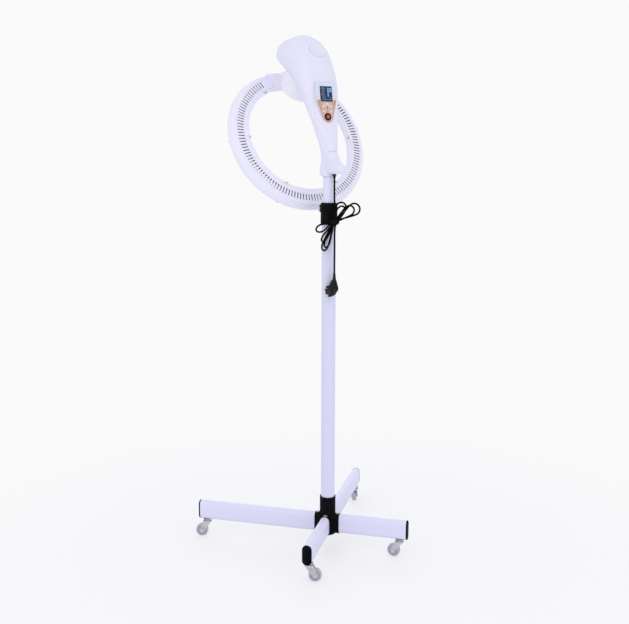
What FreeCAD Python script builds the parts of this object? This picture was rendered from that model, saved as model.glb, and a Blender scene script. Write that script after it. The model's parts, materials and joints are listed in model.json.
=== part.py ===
import FreeCAD, Part
import math
import os

# Hair colour processor: a heated ring that orbits the head, hung from a moulded housing
# on a telescopic pole with a four-leg caster base.  Millimetres.
# Origin: on the floor, on the pole's axis.  +Z up.  The stylist and the control panel are on
# the -Y side, the client and the ring on the +Y side.  The plane X = 0 is the plane of symmetry.

Vector = FreeCAD.Vector
OUT = "parts"

# ---------------------------------------------------------------- clearances
RUNNING_FIT = 0.05          # radial, shaft in its bore
SLIDE_GAP = 0.3             # between faces that move past each other
SEAT_GAP = 0.2              # round a trim piece in its recess

# ---------------------------------------------------------------- base
LEG_ANGLE = 45.0            # each leg from the X axis
LEG_AXIS_Z = 86.0
LEG_HEIGHT = 60.0
LEG_WIDTH = 28.0
LEG_WALL = 2.0
BACK_REACH = 420.0          # pole axis to the outer face of a back leg's cap
FRONT_REACH = 250.0
CAP_FLANGE = 5.0
CAP_PLUG = 16.0
CAP_SCREW_RADIUS = 3.0
CAP_EDGE = 1.75
ARM_REACH = 38.0            # pole axis to the mouth of a hub arm
ARM_ROOT = 10.0             # arms start this far from the pole axis, inside the collar
ARM_RIM = 2.0               # the arm is this much larger than the leg all round
TONGUE_LENGTH = 45.0
HUB_FLOOR_Z = 52.5
HUB_TOP_Z = 172.0
HUB_COLLAR_WALL = 3.0
HUB_RIB_PITCH = 9.0
HUB_RIB_DEPTH = 0.8
BOLT_RADIAL = 31.0          # hub bolts from the pole axis
BOLT_HEAD_RADIUS = 6.0
BOLT_HEAD_HEIGHT = 4.0
BOLT_RADIUS = 3.0
BOLT_LENGTH = 18.0

# ---------------------------------------------------------------- casters
CASTER_INSET = 25.0         # stem axis from the cap's outer face
WHEEL_RADIUS = 19.0
WHEEL_WIDTH = 15.0
WHEEL_EDGE = 2.5
WHEEL_RECESS = 2.5
WHEEL_RECESS_SHARE = 0.72    # of the wheel's radius
WHEEL_BOSS_SHARE = 0.36
TRAIL = 18.0
CHEEK_REACH = 10.8          # stem axis to the far end of the fork's bridge and cheek
CHEEK_TOP_RADIUS = 3.0
CROWN_BACK_SHARE = 0.2      # of the crown's radius behind the stem axis: bridge,
CHEEK_BACK_SHARE = 0.55     # and cheek
AXLE_RADIUS = 3.5
AXLE_HEAD_RADIUS = 6.0
AXLE_HEAD_HEIGHT = 2.5
CHEEK_THICKNESS = 2.0
CHEEK_GAP = 1.2             # wheel side to cheek
CHEEK_END_RADIUS = 8.0
CROWN_RADIUS = 13.0
CROWN_THICKNESS = 5.0
STEM_RADIUS = 5.0
STEM_RIVET_RADIUS = 7.5
STEM_RIVET_HEIGHT = 2.0
WASHER_RADIUS = 13.0
WASHER_THICKNESS = 2.4
RACE_RADIUS = 10.0
RACE_THICKNESS = 2.6
NUT_RADIUS = 9.0
NUT_HEIGHT = 7.0
# where each caster trails, in degrees from +X
CASTER_YAW = {"front_left": -28.0, "front_right": 128.0, "back_left": 150.0, "back_right": 60.0}

# ---------------------------------------------------------------- pole and clamp
LOWER_POLE_RADIUS = 21.0
LOWER_POLE_WALL = 2.0
LOWER_POLE_BOTTOM_Z = 62.0
LOWER_POLE_TOP_Z = 1038.0
UPPER_POLE_RADIUS = 17.5
UPPER_POLE_WALL = 1.75
UPPER_POLE_BOTTOM_Z = 700.0
UPPER_POLE_TOP_Z = 1194.0
BUSH_LENGTH = 50.0
CLAMP_BOTTOM_Z = 1003.0
CLAMP_TOP_Z = 1066.0
CLAMP_WALL = 3.2
CLAMP_EDGE = 5.0            # rounding of the clamp's top edge
CLAMP_SLOT = 3.0
LUG_REACH = 40.0            # pole axis to the end of the clamp's lugs
LUG_HALF_WIDTH = 10.0
LUG_HEIGHT = 22.0
LUG_END_RADIUS = 8.0
LUG_ROOT_RADIUS = 4.0
SLOT_UNDERCUT = 3.0         # clamp's slot below its lugs
CLAMP_BOLT_RADIUS = 3.0
CLAMP_BOLT_Y = 32.0
CLAMP_BOLT_Z = 1048.0
CLAMP_NUT_RADIUS = 5.5
CLAMP_NUT_HEIGHT = 5.0
CLAMP_HEAD_HEIGHT = 3.0
LEVER_HUB_RADIUS = 8.0
LEVER_WIDTH = 12.0
LEVER_LENGTH = 52.0
LEVER_TIP_RADIUS = 5.0
LEVER_TIP_SET = 3.0         # tip behind the bolt

# ---------------------------------------------------------------- housing
HOUSING_WALL = 3.0
SHOE_Z = 1142.0
# height, front y, back y, half width of each level section of the housing
HOUSING_SECTIONS = [
    (1142.0, -24.0, 24.0, 24.0),
    (1180.0, -24.0, 24.0, 24.0),
    (1216.0, -22.0, 25.0, 25.5),
    (1258.0, -9.0, 36.0, 33.5),
    (1300.0, 5.0, 51.0, 42.0),
    (1342.0, 14.5, 73.0, 52.0),
    (1384.0, 21.5, 96.0, 61.0),
    (1425.0, 31.0, 143.0, 68.5),
    (1458.0, 44.0, 196.0, 74.0),
    (1493.0, 63.0, 242.0, 76.0),
    (1518.0, 82.0, 238.0, 67.0),
    (1536.0, 101.0, 214.0, 51.0),
    (1546.0, 119.0, 186.0, 31.0),
    (1550.0, 138.0, 160.0, 10.0),
]
DOME_TURN_Z = 1493.0        # above this the roof closes
BACK_SEAM_Y = 142.0         # plane between the main shell and the back cover
SEAM_GAP = 0.4
# height, front y, back y, half width of the toe that carries the cord outlet
TOE_SECTIONS = [
    (1149.0, -66.0, 12.0, 17.0),
    (1153.0, -74.0, 14.0, 20.0),
    (1164.0, -77.0, 16.0, 22.0),
    (1176.0, -66.0, 18.0, 22.0),
    (1192.0, -42.0, 18.0, 21.0),
    (1212.0, -25.0, 18.0, 18.0),
]
CORD_Y = -29.5              # cord outlet, on the plane of symmetry
RECESS_HALF_WIDTH = 11.0
RECESS_BACK_Y = -24.0
RECESS_FRONT_Y = -46.0
RECESS_TOP_Z = 1160.0
GRUB_RADIUS = 2.5
GRUB_ANGLE = 29.0           # grub screws from the X axis, towards the front
GRUB_Z = 1190.0
GRUB_SUNK = 0.4
SOCKET_RADIUS = 21.0
SOCKET_GAP = 0.4            # sleeve to the housing's bore; the grub screws bridge it
SOCKET_BOTTOM_Z = 1146.0
SOCKET_TOP_WALL = 3.0

# fascia: rounded strip of the front shell, as (x, z, radius) circles on the right side
FASCIA_CIRCLES = [(4.0, 1224.0, 12.0), (20.0, 1290.0, 16.0), (22.0, 1402.0, 18.0)]

# round cap on the brow of the housing
CAP_Y = 67.0
CAP_Z = 1500.0
CAP_TILT = 32.0
CAP_RADIUS = 23.5
CAP_THICKNESS = 5.0
CAP_PROUD = 2.0
CAP_BEVEL = 1.2
CAP_DISH = 1.4              # depth of the dished face
CAP_DISH_RIM = 0.84         # its rim and floor, of the cap's radius
CAP_DISH_FOOT = 0.55

# ---------------------------------------------------------------- control panel
PANEL_Y = 15.0              # front face of the panel at its centre
PANEL_Z = 1355.0
PANEL_TILT = 9.0
BEZEL_DEPTH = 13.0
BEZEL_PLATE = 3.0
BEZEL_RIM = 2.0
BEZEL_EDGE = 0.8
# outline circles as (x, up, radius) on the right side, from the foot to the head
BEZEL_CIRCLES = [(0.0, -44.0, 20.0), (26.0, 2.0, 8.0), (27.0, 47.0, 6.5)]
PLATE_INSET = 2.0
PLATE_THICKNESS = 1.2
PLATE_HEAD = 2.0            # top edge of the copper plate
DISPLAY_HALF_WIDTH = 20.0
DISPLAY_LOW = -2.5
DISPLAY_HIGH = 41.0
DISPLAY_GLASS = 2.0
POWER_UP = -46.0
POWER_RADIUS = 11.0
POWER_PROUD = 2.2
POWER_TRAVEL = 1.5
KEY_RADIUS = 4.4
KEY_PROUD = 1.2
KEY_TRAVEL = 0.8
KEY_PLACES = [(-13.0, -16.0), (13.0, -16.0), (-13.0, -30.0), (13.0, -30.0)]
BUTTON_FLANGE = 1.2
BUTTON_LIP = 1.4
BOARD_THICKNESS = 1.6
BOARD_DEPTH = 9.0           # board's front face behind the panel's front face
BOARD_INSET = 3.0
SWITCH_RADIUS = 2.5

# ---------------------------------------------------------------- orbit drive
ORBIT_ANGLE = 50.0          # orbit axis below the horizontal, towards the back
ORBIT_Y = 172.0             # a point on the orbit axis: centre of the drum's lower rim
ORBIT_Z = 1398.0
DRUM_RADIUS = 57.0
DRUM_TOP = -47.0            # along the orbit axis from that point
DRUM_BOTTOM = 12.0
DRUM_WALL = 3.0
DRUM_EDGE = 10.0
DRUM_BOSS_RADIUS = 16.0
DRUM_BOSS_TOP = -36.0
DRUM_OPENING_GAP = 1.6
SHAFT_RADIUS = 10.0
SHAFT_BORE = 6.0
SHAFT_TOP = -70.0
SLIP_RING_RADIUS = 17.0
SLIP_RING_LENGTH = 11.0
MOTOR_PLATE_AT = -60.0      # upper face of the motor plate
MOTOR_PLATE_THICKNESS = 4.0
MOTOR_PLATE_RADIUS = 92.0
BEARING_RADIUS = 21.0
BEARING_LENGTH = 8.0
MOTOR_RADIUS = 25.0
MOTOR_LENGTH = 22.0
MOTOR_CAN_RADIUS = 18.0
MOTOR_CAN_LENGTH = 22.0

# ---------------------------------------------------------------- ring
RING_TILT = 26.1            # ring's plane from the vertical, its top leaning to the back
RING_Y = 179.4
RING_Z = 1247.6
RING_RADIUS = 197.0         # to the centre of the tube's section
TUBE_LONG = 32.3            # half axes of the oval section
TUBE_SHORT = 22.7
TUBE_TWIST = 32.4           # long axis, from the ring's plane towards the back
TUBE_WALL = 2.5
FLAT_HEIGHT = 14.0          # flat front of the section, ahead of its centre
BAND_HALF_WIDTH = 13.0
BAND_CENTRE = -1.0
LEDGE_WIDTH = 3.0
LEDGE_THICKNESS = 2.0
SLOT_LENGTH = 20.0
SLOT_WIDTH = 3.8
SLOT_PITCH_DEG = 2.77
SLOT_FREE_DEG = 27.0        # plain part each side of the top
SLEEVE_DEG = 15.5
SLEEVE_THICKNESS = 2.2
SLEEVE_FIT = 0.1
ARM_FOOT_RADIUS = 6.0
ARM_KNEE_RADIUS = 8.0
ARM_HALF_WIDTH = 24.0
WINDOW_HALF_WIDTH = 13.0
GUARD_WIRE = 1.1
GUARD_WIRE_OFFSET = 4.5
GUARD_BARS = 18
GUARD_BAR_WIDTH = 2.4
GUARD_BAR_ROOT = 1.5        # into the shell at each end
REFLECTOR_RADIUS = 14.0
REFLECTOR_SHEET = 0.8
REFLECTOR_CENTRE = -6.0
REFLECTOR_FOLDS = 4
LAMP_RADIUS = 5.0
LAMP_FROM_DEG = 22.0
LAMP_TO_DEG = 170.0
HOLDER_DEG = 3.0
HOLDER_PLACES = (24.0, 96.0, 168.0)
HOLDER_HALF_WIDTH = 7.5
RING_SCREW_PLACES = (30.0, 90.0, 150.0)
RING_SCREW_RADIUS = 3.4
RING_SCREW_PROUD = 1.6
RING_SCREW_DEPTH = 1.5

# ---------------------------------------------------------------- cord
CORD_RADIUS = 2.6
GLAND_RADIUS = 5.5
GLAND_TIP_RADIUS = 3.4
GLAND_BOTTOM_Z = 1136.0
GLAND_SHOULDER_Z = 1156.0
GLAND_TOP_Z = 1166.0
GLAND_FIT = 0.1
HANK_TOP_Z = 1027.0
HANK_BOTTOM_Z = 1001.0
HANK_X = -3.2
HANK_Y = -37.5
HANK_THICKNESS = 15.0
HANK_TURN = -30.4           # the hank's flat face, about Z from the X axis
# outlines in the hank's face, as (across, height, radius), anticlockwise
HANK_TIE = [(-1.0, 1010.0, 9.0), (1.0, 1018.0, 9.0), (-5.0, 1018.0, 7.0)]
HANK_RIGHT = [(3.0, 1020.0, 9.0), (56.0, 1049.0, 17.0), (25.0, 1056.0, 11.0)]
HANK_EAR = [(-46.0, 990.0, 8.5), (-2.0, 1008.0, 6.0), (-34.0, 997.0, 9.0)]
HANK_BUNDLE = [(-29.0, 941.0, 8.5), (-4.0, 1006.0, 6.0), (-12.0, 1006.0, 6.0), (-30.0, 966.0, 7.5)]
PLUG_X = -6.8               # cord's axis where it enters the plug
PLUG_Y = -42.5
PLUG_Z = 815.0              # middle of the plug's round face
PLUG_TURN = 180.0           # direction of the pins, from +X
PLUG_DROOP = 5.0            # and below the horizontal
FACE_RADIUS = 17.0
FACE_FRONT = 22.0           # plug's face ahead of the cord's axis
FACE_BACK = 12.0
FACE_EDGE = 2.0
TAPER_BACK = -4.0
TAPER_RADIUS = 9.0
# side outline of the plug's neck, as (ahead, height, radius), anticlockwise
NECK_OUTLINE = [(-2.0, 4.0, 9.5), (7.0, -6.0, 9.0), (9.0, 0.0, 12.0), (-1.0, 25.0, 6.5)]
NECK_HALF_WIDTH = 8.5
NECK_EDGE = 3.0
RELIEF_TOP_Z = 866.0
RELIEF_RADIUS = 5.6
RELIEF_TIP_RADIUS = 3.2
RELIEF_FOOT_Z = 840.0
PIN_RADIUS = 2.4
PIN_LENGTH = 19.0
PIN_SPACING = 19.0
PIN_ROLL = 20.0             # line of the pins from the plug's upright, about their own direction
PIN_TIP_EDGE = 1.2
PIN_SHANK_RADIUS = 1.8
PIN_SHANK_LENGTH = 8.0
# cord from the gland down to the hank, and from the hank down to the plug
UPPER_ROUTE = [
    (0.0, -29.5, 1136.0), (-0.2, -29.8, 1109.0), (-0.5, -31.2, 1082.0),
    (-1.6, -34.0, 1055.0), (-3.2, -37.5, 1027.0),
]
LOWER_ROUTE = [
    (-3.2, -37.5, 1001.0), (-4.3, -38.5, 970.0), (-5.0, -40.2, 936.0),
    (-6.1, -41.2, 901.0), (-6.8, -42.5, 866.0),
]


# ================================================================ tools
def place(shape, origin, x_dir, z_dir):
    """Copy of a shape drawn at the origin, set at origin with its own x and z axes turned."""
    x_axis = Vector(x_dir).normalize()
    z_axis = Vector(z_dir).normalize()
    y_axis = z_axis.cross(x_axis)
    matrix = FreeCAD.Matrix(
        x_axis.x, y_axis.x, z_axis.x, origin.x,
        x_axis.y, y_axis.y, z_axis.y, origin.y,
        x_axis.z, y_axis.z, z_axis.z, origin.z,
        0, 0, 0, 1)
    moved = shape.copy()
    moved.Placement = FreeCAD.Placement(matrix).multiply(moved.Placement)
    return moved


def cylinder(radius, length, base, direction):
    return Part.makeCylinder(radius, length, Vector(*base), Vector(*direction))


def upright(radius, z_low, z_high, x=0.0, y=0.0):
    return cylinder(radius, z_high - z_low, (x, y, z_low), (0, 0, 1))


def box(low, high):
    size = Vector(*high) - Vector(*low)
    return Part.makeBox(size.x, size.y, size.z, Vector(*low))


def rounded_outline(circles):
    """Closed wire in the XY plane round circles (x, y, radius) given anticlockwise."""
    edges = []
    tangents = []
    count = len(circles)
    for index in range(count):
        x0, y0, r0 = circles[index]
        x1, y1, r1 = circles[(index + 1) % count]
        along = Vector(x1 - x0, y1 - y0, 0)
        lean = (r0 - r1) / along.Length
        along.normalize()
        outward = Vector(along.y, -along.x, 0) * math.sqrt(1 - lean * lean) + along * lean
        tangents.append((Vector(x0, y0, 0) + outward * r0, Vector(x1, y1, 0) + outward * r1, outward))
    for index in range(count):
        start, end, outward = tangents[index]
        edges.append(Part.LineSegment(start, end).toShape())
        x1, y1, r1 = circles[(index + 1) % count]
        next_start, next_outward = tangents[(index + 1) % count][0], tangents[(index + 1) % count][2]
        turn = math.atan2(outward.cross(next_outward).z, outward.dot(next_outward)) % (2 * math.pi)
        if r1 > 0 and turn > 1e-6:
            half = math.atan2(outward.y, outward.x) + turn / 2
            middle = Vector(x1 + r1 * math.cos(half), y1 + r1 * math.sin(half), 0)
            edges.append(Part.Arc(end, middle, next_start).toShape())
    return Part.Wire(edges)


def prism(circles, low, high):
    """Solid of a rounded outline between two heights."""
    face = Part.Face(rounded_outline(circles))
    face.translate(Vector(0, 0, low))
    return face.extrude(Vector(0, 0, high - low))


def edges_above(shape, z):
    """Edges that lie at or above a height."""
    return [edge for edge in shape.Edges if edge.BoundBox.ZMin > z - 0.01]


def level_edges(shape):
    return [edge for edge in shape.Edges if edge.BoundBox.ZLength < 0.01]


def mirrored(right_side, grow=0.0):
    """Outline circles of a shape symmetric about x = 0, from its right side, foot to head."""
    right = [(x, y, radius + grow) for x, y, radius in right_side]
    left = [(-x, y, radius) for x, y, radius in reversed(right) if x > 0]
    return right + left


def oval(width, height):
    """Outline circles of an upright racetrack."""
    radius = width / 2
    reach = height / 2 - radius
    return [(0, -reach, radius), (0, reach, radius)]


def level_ellipse(z, front, back, half_width):
    """Level elliptical wire that starts at the same side whatever its proportions."""
    circle = Part.Wire([Part.Circle(Vector(0, 0, 0), Vector(0, 0, 1), 1.0).toShape()])
    matrix = FreeCAD.Matrix()
    matrix.scale(Vector(half_width, (back - front) / 2, 1.0))
    matrix.move(Vector(0, (front + back) / 2, z))
    return circle.transformGeometry(matrix)


def loft(sections):
    wires = [level_ellipse(*section) for section in sections]
    return Part.makeLoft(wires, True, False)


def half_space(side):
    """Large block on one side of the back seam: side -1 is the front, +1 the back."""
    reach = 600.0
    start = BACK_SEAM_Y + side * SEAM_GAP / 2
    low = start if side > 0 else start - reach
    return box((-reach, low, 900.0), (reach, low + reach, 1700.0))


def save(name, shape, merge_faces=True):
    if merge_faces:
        shape = shape.removeSplitter()
    solids = shape.Solids
    assert solids, name + " holds no solid"
    for solid in solids:
        assert solid.isValid(), name + " is not valid"
    result = solids[0] if len(solids) == 1 else Part.makeCompound(solids)
    result.exportStep(os.path.join(OUT, name + ".step"))
    print(name, len(solids), round(sum(solid.Volume for solid in solids)))


# ================================================================ base
LEGS = {
    "front_left": (180 + LEG_ANGLE, FRONT_REACH),
    "front_right": (-LEG_ANGLE, FRONT_REACH),
    "back_left": (180 - LEG_ANGLE, BACK_REACH),
    "back_right": (LEG_ANGLE, BACK_REACH),
}


def heading(angle):
    return Vector(math.cos(math.radians(angle)), math.sin(math.radians(angle)), 0)


def along_leg(shape, angle, distance):
    """Turn an upright-oval prism, drawn along z, to run outwards along a leg."""
    outwards = heading(angle)
    side = Vector(-outwards.y, outwards.x, 0)
    return place(shape, outwards * distance + Vector(0, 0, LEG_AXIS_Z), side, outwards)


def caster_axis(angle, reach):
    return heading(angle) * (reach - CASTER_INSET)


def make_leg(angle, reach):
    length = reach - CAP_FLANGE - ARM_REACH
    outer = prism(oval(LEG_WIDTH, LEG_HEIGHT), 0, length)
    inner = prism(oval(LEG_WIDTH - 2 * LEG_WALL, LEG_HEIGHT - 2 * LEG_WALL), 0, length)
    leg = along_leg(outer.cut(inner), angle, ARM_REACH)
    axis = caster_axis(angle, reach)
    stem_hole = upright(STEM_RADIUS, 0, LEG_AXIS_Z, axis.x, axis.y)
    return leg.cut(stem_hole)


def make_leg_caps():
    inner_width = LEG_WIDTH - 2 * LEG_WALL
    inner_height = LEG_HEIGHT - 2 * LEG_WALL
    flange = prism(oval(LEG_WIDTH, LEG_HEIGHT), 0, CAP_FLANGE)
    flange = flange.makeChamfer(CAP_EDGE, edges_above(flange, CAP_FLANGE))
    plug = prism(oval(inner_width, inner_height), -CAP_PLUG, 0)
    hollow = prism(oval(inner_width - 2 * LEG_WALL, inner_height - 2 * LEG_WALL), -CAP_PLUG, -LEG_WALL)
    screw_seat_centre = (0, (LEG_HEIGHT - LEG_WIDTH) / 2, CAP_FLANGE * 0.4)
    cap = flange.fuse(plug.cut(hollow)).cut(cylinder(CAP_SCREW_RADIUS, CAP_FLANGE, screw_seat_centre, (0, 0, 1)))
    caps = []
    for angle, reach in LEGS.values():
        axis = caster_axis(angle, reach)
        fitted = along_leg(cap, angle, reach - CAP_FLANGE)
        caps.append(fitted.cut(upright(NUT_RADIUS + SEAT_GAP, 0, 2 * LEG_AXIS_Z, axis.x, axis.y)))
    return Part.makeCompound(caps)


def hub_collar_radius():
    return LOWER_POLE_RADIUS + HUB_COLLAR_WALL


def make_base_hub():
    radius = hub_collar_radius()
    collar = upright(radius, HUB_FLOOR_Z, HUB_TOP_Z)
    rib_z = LEG_AXIS_Z + LEG_HEIGHT / 2 + ARM_RIM + HUB_RIB_PITCH
    while rib_z < HUB_TOP_Z - HUB_RIB_PITCH / 2:
        low, high = rib_z - HUB_RIB_DEPTH, rib_z + HUB_RIB_DEPTH
        collar = collar.cut(upright(radius + 1, low, high).cut(upright(radius - HUB_RIB_DEPTH, low, high)))
        rib_z += HUB_RIB_PITCH
    arm = prism(oval(LEG_WIDTH + 2 * ARM_RIM, LEG_HEIGHT + 2 * ARM_RIM), ARM_ROOT, ARM_REACH)
    tongue_width = LEG_WIDTH - 2 * LEG_WALL
    tongue_height = LEG_HEIGHT - 2 * LEG_WALL
    tongue = prism(oval(tongue_width, tongue_height), ARM_REACH - LEG_WALL, ARM_REACH + TONGUE_LENGTH)
    core = prism(oval(tongue_width - 4 * LEG_WALL, tongue_height - 4 * LEG_WALL),
                 ARM_REACH, ARM_REACH + TONGUE_LENGTH)
    socket = arm.fuse(tongue.cut(core))
    hub = collar
    for angle, _ in LEGS.values():
        hub = hub.fuse(along_leg(socket, angle, 0))
    holes = [upright(LOWER_POLE_RADIUS, LOWER_POLE_BOTTOM_Z, HUB_TOP_Z)]
    for x, y, top in bolt_places():
        hole = upright(BOLT_RADIUS, top - BOLT_LENGTH, top, x, y)
        holes.append(hole.fuse(upright(BOLT_HEAD_RADIUS, top, top + 2 * BOLT_HEAD_HEIGHT, x, y)))
    for hole in holes:
        hub = hub.cut(hole)
    return hub


def bolt_places():
    """Foot of each hub bolt's head: a spot face on the rounded top of an arm."""
    top = LEG_AXIS_Z + LEG_HEIGHT / 2 + ARM_RIM - 2.0
    return [(heading(a).x * BOLT_RADIAL, heading(a).y * BOLT_RADIAL, top) for a, _ in LEGS.values()]


def make_hub_bolts():
    bolts = []
    for x, y, top in bolt_places():
        head = upright(BOLT_HEAD_RADIUS, top, top + BOLT_HEAD_HEIGHT, x, y)
        hexagon = prism([(2.9 * math.cos(math.radians(a)), 2.9 * math.sin(math.radians(a)), 0)
                         for a in range(0, 360, 60)], 0, BOLT_HEAD_HEIGHT)
        hexagon.translate(Vector(x, y, top + BOLT_HEAD_HEIGHT * 0.4))
        shank = upright(BOLT_RADIUS, top - BOLT_LENGTH, top, x, y)
        bolts.append(head.fuse(shank).cut(hexagon))
    return Part.makeCompound(bolts)


# ================================================================ casters
def washer_bottom():
    return LEG_AXIS_Z - LEG_HEIGHT / 2 - WASHER_THICKNESS


def crown_top():
    return washer_bottom() - RACE_THICKNESS - SLIDE_GAP


def crown_bottom():
    return crown_top() - CROWN_THICKNESS


def make_caster_stems():
    leg_floor = LEG_AXIS_Z - LEG_HEIGHT / 2 + LEG_WALL
    rivet_top = crown_bottom() - SLIDE_GAP
    stems = []
    for angle, reach in LEGS.values():
        axis = caster_axis(angle, reach)
        x, y = axis.x, axis.y
        stem = upright(STEM_RADIUS, rivet_top, leg_floor + NUT_HEIGHT + 4.0, x, y)
        stem = stem.fuse(upright(STEM_RIVET_RADIUS, rivet_top - STEM_RIVET_HEIGHT, rivet_top, x, y))
        stem = stem.fuse(upright(WASHER_RADIUS, washer_bottom(), washer_bottom() + WASHER_THICKNESS, x, y))
        stem = stem.fuse(upright(RACE_RADIUS, washer_bottom() - RACE_THICKNESS, washer_bottom(), x, y))
        nut = prism([(NUT_RADIUS * math.cos(math.radians(a)), NUT_RADIUS * math.sin(math.radians(a)), 0)
                     for a in range(0, 360, 60)], 0, NUT_HEIGHT)
        nut.translate(Vector(x, y, leg_floor))
        room = prism(oval(LEG_WIDTH - 2 * LEG_WALL, LEG_HEIGHT - 2 * LEG_WALL), 0, reach)
        stems.append(stem.fuse(nut.common(along_leg(room, angle, 0))))
    return Part.makeCompound(stems)


def cheek_offset():
    return WHEEL_WIDTH / 2 + CHEEK_GAP


def fork_shape():
    """Fork drawn with its swivel axis on z and its trail along +x."""
    top = crown_top()
    low = crown_bottom()
    crown = upright(CROWN_RADIUS, low, top)
    side, back, ahead = cheek_offset(), -CROWN_RADIUS * CROWN_BACK_SHARE, CHEEK_REACH
    bridge_corners = ((back, -side), (ahead, -side), (ahead, side), (back, side))
    fork = crown.fuse(prism([(x, y, CHEEK_THICKNESS) for x, y in bridge_corners], low, top))
    level = top - CHEEK_TOP_RADIUS
    outline = [(TRAIL, WHEEL_RADIUS, CHEEK_END_RADIUS), (CHEEK_REACH - 1.0, level, CHEEK_TOP_RADIUS),
               (-CROWN_RADIUS * CHEEK_BACK_SHARE, level, CHEEK_TOP_RADIUS)]
    cheek = prism(outline, 0, CHEEK_THICKNESS)
    for side in (-1, 1):
        start = side * cheek_offset() if side > 0 else -cheek_offset() - CHEEK_THICKNESS
        fork = fork.fuse(place(cheek, Vector(0, start + CHEEK_THICKNESS, 0), (1, 0, 0), (0, -1, 0)))
    fork = fork.cut(upright(STEM_RADIUS + RUNNING_FIT, low, top))
    return fork.cut(cylinder(AXLE_RADIUS, 80, (TRAIL, -40, WHEEL_RADIUS), (0, 1, 0)))


def axle_shape():
    reach = cheek_offset() + CHEEK_THICKNESS
    axle = cylinder(AXLE_RADIUS, 2 * reach, (TRAIL, -reach, WHEEL_RADIUS), (0, 1, 0))
    for side in (-1, 1):
        base = (TRAIL, reach if side > 0 else -reach - AXLE_HEAD_HEIGHT, WHEEL_RADIUS)
        axle = axle.fuse(cylinder(AXLE_HEAD_RADIUS, AXLE_HEAD_HEIGHT, base, (0, 1, 0)))
    return axle


def wheel_shape():
    half = WHEEL_WIDTH / 2
    tyre = cylinder(WHEEL_RADIUS, WHEEL_WIDTH, (TRAIL, -half, WHEEL_RADIUS), (0, 1, 0))
    tyre = tyre.makeChamfer(WHEEL_EDGE, [e for e in tyre.Edges if abs(e.BoundBox.YLength) < 0.01])
    for side in (-1, 1):
        middle = (TRAIL, side * half, WHEEL_RADIUS)
        recess = cylinder(WHEEL_RADIUS * WHEEL_RECESS_SHARE, WHEEL_RECESS, middle, (0, -side, 0))
        boss = cylinder(WHEEL_RADIUS * WHEEL_BOSS_SHARE, WHEEL_RECESS, middle, (0, -side, 0))
        tyre = tyre.cut(recess.cut(boss))
    return tyre.cut(cylinder(AXLE_RADIUS + RUNNING_FIT, 40, (TRAIL, -20, WHEEL_RADIUS), (0, 1, 0)))


def make_casters():
    shapes = {"caster_fork_": fork_shape(), "caster_axle_": axle_shape(), "caster_wheel_": wheel_shape()}
    for name, (angle, reach) in LEGS.items():
        axis = caster_axis(angle, reach)
        trail = heading(CASTER_YAW[name])
        for prefix, shape in shapes.items():
            save(prefix + name, place(shape, axis, trail, (0, 0, 1)))


# ================================================================ pole and clamp
def make_lower_pole():
    pole = upright(LOWER_POLE_RADIUS, LOWER_POLE_BOTTOM_Z, LOWER_POLE_TOP_Z)
    return pole.cut(upright(LOWER_POLE_RADIUS - LOWER_POLE_WALL, LOWER_POLE_BOTTOM_Z, LOWER_POLE_TOP_Z))


def make_pole_bush():
    bottom = LOWER_POLE_TOP_Z - BUSH_LENGTH
    bush = upright(LOWER_POLE_RADIUS - LOWER_POLE_WALL, bottom, LOWER_POLE_TOP_Z)
    return bush.cut(upright(UPPER_POLE_RADIUS + RUNNING_FIT, bottom, LOWER_POLE_TOP_Z))


def make_upper_pole():
    pole = upright(UPPER_POLE_RADIUS, UPPER_POLE_BOTTOM_Z, UPPER_POLE_TOP_Z)
    return pole.cut(upright(UPPER_POLE_RADIUS - UPPER_POLE_WALL, UPPER_POLE_BOTTOM_Z, UPPER_POLE_TOP_Z))


def make_clamp_collar():
    radius = LOWER_POLE_RADIUS + CLAMP_WALL
    collar = upright(radius, CLAMP_BOTTOM_Z, CLAMP_TOP_Z)
    collar = collar.makeFillet(CLAMP_EDGE, edges_above(collar, CLAMP_TOP_Z))
    lug_low = CLAMP_BOLT_Z - LUG_HEIGHT / 2
    end = LUG_REACH - LUG_END_RADIUS
    rise = LUG_HEIGHT - 2 * LUG_END_RADIUS
    lug = prism([(0, 0, LUG_ROOT_RADIUS), (end, 0, LUG_END_RADIUS), (end, rise, LUG_END_RADIUS),
                 (0, rise + LUG_END_RADIUS, LUG_ROOT_RADIUS)], -LUG_HALF_WIDTH, LUG_HALF_WIDTH)
    lug = place(lug, Vector(0, 0, lug_low + LUG_END_RADIUS), (0, 1, 0), (1, 0, 0))
    lug = lug.common(box((-LUG_HALF_WIDTH, 0, lug_low), (LUG_HALF_WIDTH, LUG_REACH, lug_low + LUG_HEIGHT)))
    collar = collar.fuse(lug)
    collar = collar.cut(upright(LOWER_POLE_RADIUS, CLAMP_BOTTOM_Z, LOWER_POLE_TOP_Z))
    collar = collar.cut(upright(UPPER_POLE_RADIUS + SLIDE_GAP, LOWER_POLE_TOP_Z, CLAMP_TOP_Z))
    slot = box((-CLAMP_SLOT / 2, 0, lug_low - SLOT_UNDERCUT), (CLAMP_SLOT / 2, LUG_REACH, CLAMP_TOP_Z))
    collar = collar.cut(slot)
    bolt_start = (-LUG_HALF_WIDTH, CLAMP_BOLT_Y, CLAMP_BOLT_Z)
    return collar.cut(cylinder(CLAMP_BOLT_RADIUS, 2 * LUG_HALF_WIDTH, bolt_start, (1, 0, 0)))


def lever_start():
    return LUG_HALF_WIDTH + SLIDE_GAP


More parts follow.
